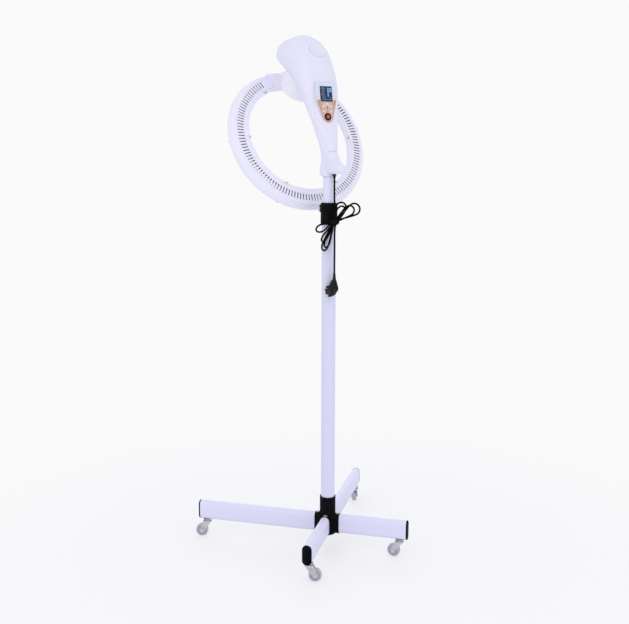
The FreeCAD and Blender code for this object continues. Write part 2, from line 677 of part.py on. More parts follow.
def make_clamp_bolt():
    """Cross bolt with a nut on one side and the lever's retaining head on the other."""
    left = -LUG_HALF_WIDTH - CLAMP_NUT_HEIGHT
    right = lever_start() + LEVER_WIDTH + SLIDE_GAP
    bolt = cylinder(CLAMP_BOLT_RADIUS, right - left, (left, CLAMP_BOLT_Y, CLAMP_BOLT_Z), (1, 0, 0))
    nut = cylinder(CLAMP_NUT_RADIUS, CLAMP_NUT_HEIGHT, (left, CLAMP_BOLT_Y, CLAMP_BOLT_Z), (1, 0, 0))
    head = cylinder(CLAMP_NUT_RADIUS, CLAMP_HEAD_HEIGHT, (right, CLAMP_BOLT_Y, CLAMP_BOLT_Z), (1, 0, 0))
    return bolt.fuse(nut).fuse(head)


def make_clamp_lever():
    """Hand lever hanging straight down from the clamp bolt."""
    arm = prism([(0, 0, LEVER_HUB_RADIUS), (-LEVER_LENGTH, LEVER_TIP_SET, LEVER_TIP_RADIUS)], 0, LEVER_WIDTH)
    arm = place(arm, Vector(lever_start(), CLAMP_BOLT_Y, CLAMP_BOLT_Z), (0, 0, 1), (1, 0, 0))
    bore = cylinder(CLAMP_BOLT_RADIUS + RUNNING_FIT, LEVER_WIDTH,
                    (lever_start(), CLAMP_BOLT_Y, CLAMP_BOLT_Z), (1, 0, 0))
    return arm.cut(bore)


# ================================================================ orbit frame
def orbit_direction():
    angle = math.radians(ORBIT_ANGLE)
    return Vector(0, math.cos(angle), -math.sin(angle))


def on_orbit(shape):
    """Set a shape drawn about z onto the orbit axis; its +z points down and back."""
    return place(shape, Vector(0, ORBIT_Y, ORBIT_Z), (1, 0, 0), orbit_direction())


# ================================================================ housing
def inner_sections():
    """The housing's sections moved in by the wall, the roof by as much in height."""
    roof = HOUSING_SECTIONS[-1][0]
    moved = []
    for z, front, back, half_width in HOUSING_SECTIONS:
        share = max(0.0, (z - DOME_TURN_Z) / (roof - DOME_TURN_Z))
        inset = HOUSING_WALL * (1 - 0.6 * share)
        moved.append((z - HOUSING_WALL * share, front + inset, back - inset, half_width - inset))
    return moved


def cavity():
    return loft(inner_sections())


def panel_frame(shape):
    """Set a shape drawn in x, up, out onto the panel's front plane."""
    angle = math.radians(PANEL_TILT)
    return place(shape, Vector(0, PANEL_Y, PANEL_Z), (1, 0, 0), (0, -math.cos(angle), math.sin(angle)))


def cap_frame(shape):
    angle = math.radians(CAP_TILT)
    return place(shape, Vector(0, CAP_Y, CAP_Z), (1, 0, 0), (0, -math.cos(angle), math.sin(angle)))


def fascia_prism(grow):
    """Block that cuts the fascia's outline out of the front of the housing."""
    strip = prism(mirrored(FASCIA_CIRCLES, grow), 0, 400)
    front = place(strip, Vector(0, 30.0, 0), (1, 0, 0), (0, -1, 0))
    return front


def make_housing():
    outer = loft(HOUSING_SECTIONS).fuse(loft(TOE_SECTIONS))
    shell = outer.cut(cavity())
    shell = shell.cut(upright(SOCKET_RADIUS + SOCKET_GAP, SHOE_Z - 20, socket_top() + SOCKET_GAP))
    shell = shell.cut(box((-RECESS_HALF_WIDTH, RECESS_FRONT_Y, SHOE_Z - 20),
                          (RECESS_HALF_WIDTH, RECESS_BACK_Y, RECESS_TOP_Z)))
    shell = shell.cut(upright(GLAND_RADIUS + GLAND_FIT, RECESS_TOP_Z - 1, GLAND_TOP_Z + GLAND_FIT, 0, CORD_Y))
    for side in (-1, 1):
        shell = shell.cut(grub_screw(side))
    opening = cylinder(DRUM_RADIUS + DRUM_OPENING_GAP, 100, (0, 0, DRUM_TOP - 20), (0, 0, 1))
    shell = shell.cut(on_orbit(opening))
    shell = shell.cut(panel_frame(prism(mirrored(BEZEL_CIRCLES, SEAT_GAP), -BEZEL_DEPTH, 30)))
    shell = shell.cut(cap_frame(upright(CAP_RADIUS + SEAT_GAP, -(CAP_THICKNESS - CAP_PROUD), 30)))
    fascia = shell.common(fascia_prism(0.0))
    rest = shell.cut(fascia_prism(SEAM_GAP))
    main = rest.common(half_space(-1))
    back = rest.common(half_space(1))
    save("front_fascia", largest(fascia), merge_faces=False)
    save("housing_shell", largest(main), merge_faces=False)
    save("housing_back_cover", largest(back), merge_faces=False)


def largest(shape):
    return max(shape.Solids, key=lambda solid: solid.Volume)


def grub_screw(side):
    angle = math.radians(GRUB_ANGLE)
    outward = Vector(side * math.cos(angle), -math.sin(angle), 0)
    start = outward * SOCKET_RADIUS + Vector(0, 0, GRUB_Z)
    length = HOUSING_SECTIONS[0][3] - SOCKET_RADIUS - GRUB_SUNK
    return Part.makeCylinder(GRUB_RADIUS, length, start, outward)


def make_grub_screws():
    return Part.makeCompound([grub_screw(-1), grub_screw(1)])


def socket_top():
    return UPPER_POLE_TOP_Z + SLIDE_GAP + SOCKET_TOP_WALL


def make_pole_socket():
    """Bearing sleeve that turns on the top of the upper pole and carries the housing."""
    sleeve = upright(SOCKET_RADIUS, SOCKET_BOTTOM_Z, socket_top())
    bore_top = socket_top() - SOCKET_TOP_WALL
    return sleeve.cut(upright(UPPER_POLE_RADIUS + RUNNING_FIT, SOCKET_BOTTOM_Z, bore_top))


def make_cord_gland():
    body = upright(GLAND_RADIUS, GLAND_SHOULDER_Z, GLAND_TOP_Z, 0, CORD_Y)
    taper = Part.makeCone(GLAND_TIP_RADIUS, GLAND_RADIUS, GLAND_SHOULDER_Z - GLAND_BOTTOM_Z,
                          Vector(0, CORD_Y, GLAND_BOTTOM_Z), Vector(0, 0, 1))
    return body.fuse(taper)


def make_top_cap():
    cap = upright(CAP_RADIUS, -(CAP_THICKNESS - CAP_PROUD), CAP_PROUD)
    cap = cap.makeChamfer(CAP_BEVEL, edges_above(cap, CAP_PROUD))
    dish = Part.makeCone(CAP_RADIUS * CAP_DISH_FOOT, CAP_RADIUS * CAP_DISH_RIM, CAP_DISH,
                         Vector(0, 0, CAP_PROUD - CAP_DISH), Vector(0, 0, 1))
    return cap_frame(cap.cut(dish))


# ================================================================ control panel
def display_box(grow, low, high):
    return box((-DISPLAY_HALF_WIDTH - grow, DISPLAY_LOW - grow, low),
               (DISPLAY_HALF_WIDTH + grow, DISPLAY_HIGH + grow, high))


def plate_outline(grow):
    return mirrored(BEZEL_CIRCLES, grow - PLATE_INSET)


def plate_region(grow, low, high):
    region = prism(plate_outline(grow), low, high)
    head = box((-100, PLATE_HEAD + grow, low - 1), (100, 100, high + 1))
    return region.cut(head).cut(display_box(SEAT_GAP - grow + 1.0, low - 1, high + 1))


def make_panel_bezel():
    block = prism(mirrored(BEZEL_CIRCLES), -BEZEL_DEPTH, 0)
    block = block.makeChamfer(BEZEL_EDGE, edges_above(block, 0.0))
    hollow = prism(mirrored(BEZEL_CIRCLES, -BEZEL_RIM), -BEZEL_DEPTH, -BEZEL_PLATE)
    bezel = block.cut(hollow)
    bezel = bezel.cut(plate_region(SEAT_GAP, -PLATE_THICKNESS, 1))
    bezel = bezel.cut(display_box(SEAT_GAP, -BEZEL_PLATE - 1, 1))
    for x, up, radius, _, _ in button_list():
        bezel = bezel.cut(upright(radius + SLIDE_GAP, -BEZEL_PLATE - 1, 1, x, up))
    return panel_frame(bezel)


def button_list():
    """Place, radius, height and travel of the power button and the four keys."""
    keys = [(x, up, KEY_RADIUS, KEY_PROUD, KEY_TRAVEL) for x, up in KEY_PLACES]
    return [(0.0, POWER_UP, POWER_RADIUS, POWER_PROUD, POWER_TRAVEL)] + keys


def make_panel_plate():
    plate = plate_region(0.0, -PLATE_THICKNESS, 0.2)
    for x, up, radius, _, _ in button_list():
        plate = plate.cut(upright(radius + SLIDE_GAP, -5, 5, x, up))
    return panel_frame(plate)


def make_button(x, up, radius, proud):
    stem = upright(radius, -BEZEL_PLATE - SLIDE_GAP - BUTTON_FLANGE, proud, x, up)
    stem = stem.makeChamfer(min(proud * 0.5, radius * 0.25), edges_above(stem, proud))
    flange_top = -BEZEL_PLATE - SLIDE_GAP
    flange = upright(radius + BUTTON_LIP, flange_top - BUTTON_FLANGE, flange_top, x, up)
    return panel_frame(stem.fuse(flange))


def make_display_window():
    return panel_frame(display_box(0.0, -DISPLAY_GLASS, 0.3))


def make_control_board():
    """Circuit board with the display module and a push switch behind each button."""
    outline = mirrored(BEZEL_CIRCLES, -BEZEL_RIM - SEAT_GAP)
    board = prism(outline, -BOARD_DEPTH - BOARD_THICKNESS, -BOARD_DEPTH)
    board = board.fuse(display_box(-1.0, -BOARD_DEPTH, -DISPLAY_GLASS - SEAT_GAP))
    for x, up, _, _, travel in button_list():
        button_back = -BEZEL_PLATE - SLIDE_GAP - BUTTON_FLANGE
        board = board.fuse(upright(SWITCH_RADIUS, -BOARD_DEPTH, button_back - travel - SLIDE_GAP, x, up))
    return panel_frame(board)


# ================================================================ orbit drive
def make_motor_plate():
    disc = upright(MOTOR_PLATE_RADIUS, MOTOR_PLATE_AT, MOTOR_PLATE_AT + MOTOR_PLATE_THICKNESS)
    disc = disc.cut(upright(BEARING_RADIUS, MOTOR_PLATE_AT, MOTOR_PLATE_AT + MOTOR_PLATE_THICKNESS))
    return largest(on_orbit(disc).common(cavity()))


def make_orbit_bearing():
    ring = upright(BEARING_RADIUS, MOTOR_PLATE_AT, MOTOR_PLATE_AT + BEARING_LENGTH)
    bore = upright(SHAFT_RADIUS + RUNNING_FIT, MOTOR_PLATE_AT, MOTOR_PLATE_AT + BEARING_LENGTH)
    return on_orbit(ring.cut(bore))


def make_gear_motor():
    gearbox = upright(MOTOR_RADIUS, MOTOR_PLATE_AT - MOTOR_LENGTH, MOTOR_PLATE_AT)
    can_top = MOTOR_PLATE_AT - MOTOR_LENGTH - MOTOR_CAN_LENGTH
    can = upright(MOTOR_CAN_RADIUS, can_top, MOTOR_PLATE_AT - MOTOR_LENGTH)
    socket = upright(SHAFT_RADIUS + RUNNING_FIT, SHAFT_TOP - 1.0, MOTOR_PLATE_AT)
    return on_orbit(gearbox.fuse(can).cut(socket))


def make_rotor_shaft():
    shaft = upright(SHAFT_RADIUS, SHAFT_TOP, DRUM_BOTTOM - DRUM_WALL)
    return on_orbit(shaft.cut(upright(SHAFT_BORE, SHAFT_TOP, DRUM_BOTTOM - DRUM_WALL)))


def make_slip_ring():
    start = DRUM_BOSS_TOP - SLIP_RING_LENGTH
    ring = upright(SLIP_RING_RADIUS, start, DRUM_BOSS_TOP)
    return on_orbit(ring.cut(upright(SHAFT_RADIUS, start, DRUM_BOSS_TOP)))


def make_rotor_drum():
    """Turning cover under the dome, with the arm and sleeve that hold the ring."""
    drum = upright(DRUM_RADIUS, DRUM_TOP, DRUM_BOTTOM)
    drum = drum.makeFillet(DRUM_EDGE, edges_above(drum, DRUM_BOTTOM))
    inner = upright(DRUM_RADIUS - DRUM_WALL, DRUM_TOP, DRUM_BOTTOM - DRUM_WALL)
    inner = inner.makeChamfer(DRUM_EDGE - DRUM_WALL, edges_above(inner, DRUM_BOTTOM - DRUM_WALL))
    boss = upright(DRUM_BOSS_RADIUS, DRUM_BOSS_TOP, DRUM_BOTTOM - DRUM_WALL)
    drum = drum.cut(inner).fuse(boss)
    drum = drum.cut(upright(SHAFT_RADIUS, DRUM_TOP, DRUM_BOTTOM - DRUM_WALL))
    drum = on_orbit(drum)
    room = upright(DRUM_RADIUS - DRUM_WALL / 2, DRUM_TOP, DRUM_BOTTOM - DRUM_WALL / 2)
    cover = drum.fuse(ring_arm().cut(on_orbit(room))).fuse(ring_sleeve())
    return cover.cut(ring_body(SLEEVE_FIT))


# ================================================================ ring
def ring_normal():
    angle = math.radians(RING_TILT)
    return Vector(0, -math.cos(angle), math.sin(angle))


def on_ring(shape):
    """Set a shape drawn about z, with its top along +y, onto the ring; +z is its front."""
    return place(shape, Vector(0, RING_Y, RING_Z), (1, 0, 0), ring_normal())


def tube_point(long_way, short_way):
    """Point of the tube's section, in the xz plane, from its own oval axes."""
    twist = math.radians(TUBE_TWIST)
    outward = long_way * math.cos(twist) + short_way * math.sin(twist)
    forward = -long_way * math.sin(twist) + short_way * math.cos(twist)
    return Vector(RING_RADIUS + outward, 0, forward)


def tube_face(grow):
    """Oval section of the tube, flattened at the front, grown by an allowance."""
    centre = tube_point(0, 0)
    ellipse = Part.Ellipse(tube_point(TUBE_LONG + grow, 0), tube_point(0, TUBE_SHORT + grow), centre)
    face = Part.Face(Part.Wire([ellipse.toShape()]))
    reach = 2 * TUBE_LONG
    edge = FLAT_HEIGHT + grow
    corners = [(-reach, -reach), (reach, -reach), (reach, edge), (-reach, edge), (-reach, -reach)]
    window = Part.Face(Part.makePolygon([Vector(RING_RADIUS + a, 0, b) for a, b in corners]))
    return face.common(window).Faces[0]


def section_rectangle(left, right, low, high):
    """Rectangle in the section's plane, along the oval's own axes."""
    corners = [tube_point(*point) for point in ((left, low), (right, low), (right, high), (left, high))]
    return Part.Face(Part.makePolygon(corners + corners[:1]))


def flat_block(inner, outer, low, high):
    """Rectangle in the section's plane from radial and forward distances."""
    corners = [(inner, low), (outer, low), (outer, high), (inner, high), (inner, low)]
    return Part.Face(Part.makePolygon([Vector(RING_RADIUS + a, 0, b) for a, b in corners]))


def spin(face, start=0.0, sweep=360.0):
    """Revolve a section about the ring's axis; angles run from the ring's top."""
    solid = face.revolve(Vector(0, 0, 0), Vector(0, 0, 1), sweep)
    solid.rotate(Vector(0, 0, 0), Vector(0, 0, 1), 90 + start)
    return solid


def ring_body(grow):
    return on_ring(spin(tube_face(grow)))


def ring_sleeve():
    return on_ring(spin(tube_face(SLEEVE_THICKNESS), -SLEEVE_DEG, 2 * SLEEVE_DEG))


def ring_top():
    """Centre of the tube at the ring's highest point, in the orbit frame's plane."""
    normal = ring_normal()
    upwards = Vector(0, normal.z, -normal.y)
    return Vector(0, RING_Y, RING_Z) + upwards * RING_RADIUS


def ring_arm():
    """Web from the drum's floor to the sleeve, drawn in the plane of symmetry."""
    axis = orbit_direction()
    across = Vector(0, -axis.z, axis.y)
    top = ring_top() - Vector(0, ORBIT_Y, ORBIT_Z)
    radial, along = top.dot(across), top.dot(axis)
    foot = (radial * 0.35, DRUM_BOTTOM - ARM_FOOT_RADIUS, ARM_FOOT_RADIUS)
    knee = (radial * 0.62, DRUM_TOP * 0.3, ARM_KNEE_RADIUS)
    outline = [foot, knee, (radial, along, TUBE_SHORT)]
    web = prism(outline, -ARM_HALF_WIDTH, ARM_HALF_WIDTH)
    return place(web, Vector(0, ORBIT_Y, ORBIT_Z), across, Vector(-1, 0, 0))


def screw_seat(angle, end):
    """Screw head at the inner or outer end of the section's long axis, before placing."""
    inside = tube_point(end * (TUBE_LONG - RING_SCREW_DEPTH), 0)
    outside = tube_point(end * (TUBE_LONG + RING_SCREW_PROUD), 0)
    along = outside - inside
    screw = Part.makeCylinder(RING_SCREW_RADIUS, along.Length, inside, along)
    screw.rotate(Vector(0, 0, 0), Vector(0, 0, 1), 90 + angle)
    return screw


def ring_screws():
    angles = [side * place_deg for place_deg in RING_SCREW_PLACES for side in (-1, 1)]
    return Part.makeCompound([screw_seat(angle, end) for angle in angles for end in (-1, 1)])


def shell_face():
    return tube_face(0.0).cut(tube_face(-TUBE_WALL))


def make_ring_front_shell():
    reach = 2 * TUBE_LONG
    front = section_rectangle(-reach, reach, SEAM_GAP / 2, reach)
    face = shell_face().common(front)
    low_ledge = FLAT_HEIGHT - TUBE_WALL - LEDGE_THICKNESS
    edge = BAND_HALF_WIDTH + SEAT_GAP
    face = face.cut(flat_block(BAND_CENTRE - edge, BAND_CENTRE + edge, low_ledge, FLAT_HEIGHT + 1))
    solid = spin(face)
    for side in (-1, 1):
        near = BAND_CENTRE + side * (BAND_HALF_WIDTH - LEDGE_WIDTH)
        far = BAND_CENTRE + side * (BAND_HALF_WIDTH + LEDGE_WIDTH)
        ledge = flat_block(min(near, far), max(near, far), low_ledge, FLAT_HEIGHT - TUBE_WALL)
        solid = solid.fuse(spin(ledge))
    return on_ring(solid.cut(ring_screws()))


def make_ring_vent_band():
    face = flat_block(BAND_CENTRE - BAND_HALF_WIDTH, BAND_CENTRE + BAND_HALF_WIDTH,
                      FLAT_HEIGHT - TUBE_WALL, FLAT_HEIGHT)
    band = spin(face)
    slots = []
    count = int((360 - 2 * SLOT_FREE_DEG) / SLOT_PITCH_DEG) + 1
    start = 180 - (count - 1) * SLOT_PITCH_DEG / 2
    middle = RING_RADIUS + BAND_CENTRE
    for index in range(count):
        slot = box((middle - SLOT_LENGTH / 2, -SLOT_WIDTH / 2, FLAT_HEIGHT - 2 * TUBE_WALL),
                   (middle + SLOT_LENGTH / 2, SLOT_WIDTH / 2, FLAT_HEIGHT + 1))
        slot.rotate(Vector(0, 0, 0), Vector(0, 0, 1), 90 + start + index * SLOT_PITCH_DEG)
        slots.append(slot)
    return on_ring(band.cut(Part.makeCompound(slots)))


def make_ring_back_shell():
    """Heated side of the ring: the moulded trough with its window and guard."""
    reach = 2 * TUBE_LONG
    back = section_rectangle(-reach, reach, -reach, -SEAM_GAP / 2)
    window = section_rectangle(-WINDOW_HALF_WIDTH, WINDOW_HALF_WIDTH, -reach, 0)
    solid = spin(shell_face().common(back).cut(window))
    wire_depth = -TUBE_SHORT + 2 * GUARD_WIRE
    bar_reach = WINDOW_HALF_WIDTH + GUARD_BAR_ROOT
    bar = section_rectangle(-bar_reach, bar_reach, wire_depth - GUARD_WIRE, wire_depth + GUARD_WIRE)
    bar = bar.common(tube_face(0.0)).Faces[0]
    sweep = math.degrees(GUARD_BAR_WIDTH / RING_RADIUS)
    for index in range(GUARD_BARS):
        angle = (index + 0.5) * 360.0 / GUARD_BARS
        solid = solid.fuse(spin(bar, angle - sweep / 2, sweep))
    for side in (-1, 1):
        offset = side * GUARD_WIRE_OFFSET
        wire = section_rectangle(offset - GUARD_WIRE, offset + GUARD_WIRE,
                                 wire_depth - GUARD_WIRE, wire_depth + GUARD_WIRE)
        solid = solid.fuse(spin(wire))
    return on_ring(solid.cut(ring_screws()))


def reflector_face(radius, foot):
    """Section of a sheet folded round the lamp, open towards the window."""
    corners = [tube_point(radius, foot)]
    for fold in range(REFLECTOR_FOLDS + 1):
        angle = math.pi * fold / REFLECTOR_FOLDS
        corners.append(tube_point(radius * math.cos(angle), REFLECTOR_CENTRE + radius * math.sin(angle)))
    corners.append(tube_point(-radius, foot))
    return Part.Face(Part.makePolygon(corners + corners[:1]))


def reflector_foot():
    inner_long = TUBE_LONG - TUBE_WALL
    inner_short = TUBE_SHORT - TUBE_WALL
    return -inner_short * math.sqrt(1 - (REFLECTOR_RADIUS / inner_long) ** 2) + SLIDE_GAP


def make_ring_reflector():
    outer = reflector_face(REFLECTOR_RADIUS, reflector_foot())
    inner = reflector_face(REFLECTOR_RADIUS - REFLECTOR_SHEET, reflector_foot())
    return on_ring(spin(outer.cut(inner)))


def lamp_centre():
    return tube_point(0, REFLECTOR_CENTRE)


def make_heater_lamps():
    circle = Part.Circle(lamp_centre(), Vector(0, 1, 0), LAMP_RADIUS)
    face = Part.Face(Part.Wire([circle.toShape()]))
    sweep = LAMP_TO_DEG - LAMP_FROM_DEG
    lamps = [spin(face, LAMP_FROM_DEG, sweep), spin(face, -LAMP_TO_DEG, sweep)]
    return on_ring(Part.makeCompound(lamps))


def make_lamp_holders():
    """Ceramic blocks in the reflector, two at the ends and one in the middle of each lamp."""
    fold = math.tan(math.pi / (2 * REFLECTOR_FOLDS))
    top = REFLECTOR_CENTRE + REFLECTOR_RADIUS - REFLECTOR_SHEET - HOLDER_HALF_WIDTH * fold - SEAT_GAP
    low = REFLECTOR_CENTRE - LAMP_RADIUS - 1.5
    block = section_rectangle(-HOLDER_HALF_WIDTH, HOLDER_HALF_WIDTH, low, top)
    circle = Part.Circle(lamp_centre(), Vector(0, 1, 0), LAMP_RADIUS)
    block = block.cut(Part.Face(Part.Wire([circle.toShape()])))
    angles = [side * place_deg for place_deg in HOLDER_PLACES for side in (-1, 1)]
    return on_ring(Part.makeCompound([spin(block, angle - HOLDER_DEG / 2, HOLDER_DEG) for angle in angles]))


# ================================================================ cord
def cord_tube(route, label):
    """Round tube along straight runs joined by tangent arcs; prints the arcs' radii."""
    points = [Vector(*point) for point in route]
    edges = []
    radii = []
    cursor = points[0]
    for index in range(1, len(points) - 1):
        before = points[index] - points[index - 1]
        after = points[index + 1] - points[index]
        turn = before.getAngle(after)
        trim = 0.45 * min(before.Length, after.Length)
        radii.append(trim / math.tan(turn / 2))
        start = points[index] - Vector(before).normalize() * trim
        end = points[index] + Vector(after).normalize() * trim
        bisector = (Vector(after).normalize() - Vector(before).normalize()).normalize()
        sagitta = radii[-1] * (1 / math.cos(turn / 2) - 1)
        edges.append(Part.LineSegment(cursor, start).toShape())
        edges.append(Part.Arc(start, points[index] + bisector * sagitta, end).toShape())
        cursor = end
    edges.append(Part.LineSegment(cursor, points[-1]).toShape())
    path = Part.Wire(edges)
    profile = Part.Wire([Part.Circle(points[0], points[1] - points[0], CORD_RADIUS).toShape()])
    tube = path.makePipeShell([profile], True, False)
    expected = math.pi * CORD_RADIUS ** 2 * path.Length
    print(label, "length", round(path.Length, 1), "arc radii", [round(radius) for radius in radii],
          "volume ratio", round(tube.Volume / expected, 4))
    return tube


def make_cord_hank():
    """Outer shape of the tied hank: loops to the right, an ear and a bundle to the left."""
    hank = prism(HANK_TIE, 0, HANK_THICKNESS)
    for outline in (HANK_RIGHT, HANK_EAR, HANK_BUNDLE):
        hank = hank.fuse(prism(outline, 0, HANK_THICKNESS))
    turn = math.radians(HANK_TURN)
    across = Vector(math.cos(turn), math.sin(turn), 0)
    towards = Vector(math.sin(turn), -math.cos(turn), 0)
    start = Vector(HANK_X, HANK_Y, 0) - towards * (HANK_THICKNESS / 2)
    return place(hank, start, across, towards)


def plug_axes():
    """Direction of the pins, and the plug's own upright direction."""
    droop = math.radians(PLUG_DROOP)
    level = heading(PLUG_TURN)
    pins = level * math.cos(droop) - Vector(0, 0, math.sin(droop))
    up = level * math.sin(droop) + Vector(0, 0, math.cos(droop))
    return pins, up


def plug_frame(shape):
    """Set a shape drawn about z onto the plug: +z runs the way the pins point, +x is up."""
    pins, up = plug_axes()
    return place(shape, Vector(PLUG_X, PLUG_Y, PLUG_Z), up, pins)


def neck_frame(shape):
    """Set a side outline, drawn as ahead and height, onto the plug."""
    pins, up = plug_axes()
    return place(shape, Vector(PLUG_X, PLUG_Y, PLUG_Z), pins, pins.cross(up))


def pin_places():
    """Axes of the two pins in the plug's own frame, as (up, across)."""
    roll = math.radians(PIN_ROLL)
    half = PIN_SPACING / 2
    return [(side * half * math.cos(roll), side * half * math.sin(roll)) for side in (-1, 1)]


def make_plug_body():
    """Angled plug moulded on the cord, with its tapered strain relief."""
    disc = upright(FACE_RADIUS, FACE_BACK, FACE_FRONT)
    disc = disc.makeChamfer(FACE_EDGE, level_edges(disc))
    taper = Part.makeCone(TAPER_RADIUS, FACE_RADIUS - FACE_EDGE, FACE_BACK + FACE_EDGE - TAPER_BACK,
                          Vector(0, 0, TAPER_BACK), Vector(0, 0, 1))
    neck = prism(NECK_OUTLINE, -NECK_HALF_WIDTH, NECK_HALF_WIDTH)
    neck = neck.makeChamfer(NECK_EDGE, level_edges(neck))
    body = plug_frame(disc.fuse(taper)).fuse(neck_frame(neck))
    relief = Part.makeCone(RELIEF_RADIUS, RELIEF_TIP_RADIUS, RELIEF_TOP_Z - RELIEF_FOOT_Z,
                           Vector(PLUG_X, PLUG_Y, RELIEF_FOOT_Z), Vector(0, 0, 1))
    body = body.fuse(relief)
    for up, across in pin_places():
        shank = upright(PIN_SHANK_RADIUS, FACE_FRONT - PIN_SHANK_LENGTH, FACE_FRONT, up, across)
        body = body.cut(plug_frame(shank))
    return body


def make_plug_pins():
    tip_z = FACE_FRONT + PIN_LENGTH
    pins = []
    for up, across in pin_places():
        pin = upright(PIN_RADIUS, FACE_FRONT, tip_z, up, across)
        shank = upright(PIN_SHANK_RADIUS, FACE_FRONT - PIN_SHANK_LENGTH, FACE_FRONT, up, across)
        pin = pin.makeChamfer(PIN_TIP_EDGE, edges_above(pin, tip_z))
        pins.append(plug_frame(pin.fuse(shank)))
    return Part.makeCompound(pins)


# ================================================================ build
def build_base():
    save("base_hub", make_base_hub())
    save("hub_bolts", make_hub_bolts())
    for name, (angle, reach) in LEGS.items():
        save("leg_" + name, make_leg(angle, reach))
    save("leg_caps", make_leg_caps())
    save("caster_stems", make_caster_stems())
    make_casters()


def build_pole():
    save("lower_pole", make_lower_pole())
    save("pole_bush", make_pole_bush())
    save("upper_pole", make_upper_pole())
    save("clamp_collar", make_clamp_collar())
    save("clamp_bolt", make_clamp_bolt())
    save("clamp_lever", make_clamp_lever())


def build_head():
    make_housing()
    save("pole_socket", make_pole_socket())
    save("grub_screws", make_grub_screws())
    save("cord_gland", make_cord_gland())
    save("top_cap", make_top_cap())
    save("panel_bezel", make_panel_bezel())
    save("panel_plate", make_panel_plate())
    save("display_window", make_display_window())
    save("control_board", make_control_board())
    names = ["power_button"] + ["key_%d" % (index + 1) for index in range(len(KEY_PLACES))]
    for name, (x, up, radius, proud, _) in zip(names, button_list()):
        save(name, make_button(x, up, radius, proud))
    save("motor_plate", make_motor_plate())
    save("orbit_bearing", make_orbit_bearing())
    save("gear_motor", make_gear_motor())


def build_ring():
    save("rotor_shaft", make_rotor_shaft())
    save("slip_ring", make_slip_ring())
    save("rotor_drum", make_rotor_drum())
    save("ring_front_shell", make_ring_front_shell())
    save("ring_vent_band", make_ring_vent_band())
    save("ring_back_shell", make_ring_back_shell())
    save("ring_reflector", make_ring_reflector())
    save("heater_lamps", make_heater_lamps())
    save("lamp_holders", make_lamp_holders())
    save("ring_screws", on_ring(ring_screws()))


def build_cord():
    save("cord_upper", cord_tube(UPPER_ROUTE, "upper cord"))
    save("cord_hank", make_cord_hank())
    save("cord_lower", cord_tube(LOWER_ROUTE, "lower cord"))
    save("plug_body", make_plug_body())
    save("plug_pins", make_plug_pins())


os.makedirs(OUT, exist_ok=True)
build_base()
build_pole()
build_head()
build_ring()
build_cord()
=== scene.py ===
"""Looks of a salon hair colour processor: finishes, fine fittings, cord, camera and light.

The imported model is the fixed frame.  This script dresses its nodes in procedural finishes, adds
the fittings that are too fine for the construction source, and lays the mains cord.
Lengths are in metres, in the model's own frame, or in millimetres where a comment says so.
"""

import json
import logging
import math
from dataclasses import dataclass, field
from enum import Enum
from typing import Callable, Sequence, Union

import bmesh
import bpy
from mathutils import Matrix, Vector

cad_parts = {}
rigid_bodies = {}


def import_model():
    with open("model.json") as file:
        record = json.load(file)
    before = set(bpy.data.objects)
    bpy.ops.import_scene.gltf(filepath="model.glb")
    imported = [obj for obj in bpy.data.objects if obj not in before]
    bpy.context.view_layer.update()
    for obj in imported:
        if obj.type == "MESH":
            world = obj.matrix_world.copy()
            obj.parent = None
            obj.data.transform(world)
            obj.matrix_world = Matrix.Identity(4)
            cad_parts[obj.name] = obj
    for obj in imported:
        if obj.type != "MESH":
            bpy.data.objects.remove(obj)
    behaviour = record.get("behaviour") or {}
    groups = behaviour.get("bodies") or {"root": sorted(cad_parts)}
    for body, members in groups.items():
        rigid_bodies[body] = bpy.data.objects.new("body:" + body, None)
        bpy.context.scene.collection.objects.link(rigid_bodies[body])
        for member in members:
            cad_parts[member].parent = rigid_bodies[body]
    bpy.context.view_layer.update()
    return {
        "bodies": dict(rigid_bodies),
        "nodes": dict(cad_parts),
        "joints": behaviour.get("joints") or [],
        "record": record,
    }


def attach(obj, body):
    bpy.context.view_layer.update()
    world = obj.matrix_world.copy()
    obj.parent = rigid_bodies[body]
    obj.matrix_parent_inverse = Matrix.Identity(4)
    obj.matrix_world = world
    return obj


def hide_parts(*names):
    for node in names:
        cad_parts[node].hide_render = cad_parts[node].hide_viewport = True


LOG = logging.getLogger("hair_colour_processor")
MM = 0.001
PICTURE_WIDTH = 629  # pixels
SMOOTH_ANGLE = 40.0  # degrees; flatter edges are shaded smooth
Point = tuple[float, float, float]
Colour = tuple[float, float, float]
Pairs = tuple[tuple[float, float], ...]  # (radius, height) of a profile, or (across, up) of places
Rectangle = tuple[float, float, float, float]  # across, up, width, height


class Corner(Enum):
    """The four corners of the wheeled base, by node name."""

    FRONT_LEFT = "front_left"
    FRONT_RIGHT = "front_right"
    BACK_LEFT = "back_left"
    BACK_RIGHT = "back_right"


class Body(Enum):
    """Moving groups of the model that pieces ride on."""

    STAND = "stand"
    POLE = "sliding_pole"
    HEAD = "head"
    RING = "orbit_ring"
    POWER = "power_button"
    WHEEL_FRONT_LEFT = "wheel_front_left"
    WHEEL_FRONT_RIGHT = "wheel_front_right"
    WHEEL_BACK_LEFT = "wheel_back_left"
    WHEEL_BACK_RIGHT = "wheel_back_right"


# ---------------------------------------------------------------- shader graph
Value = Union["Signal", float]


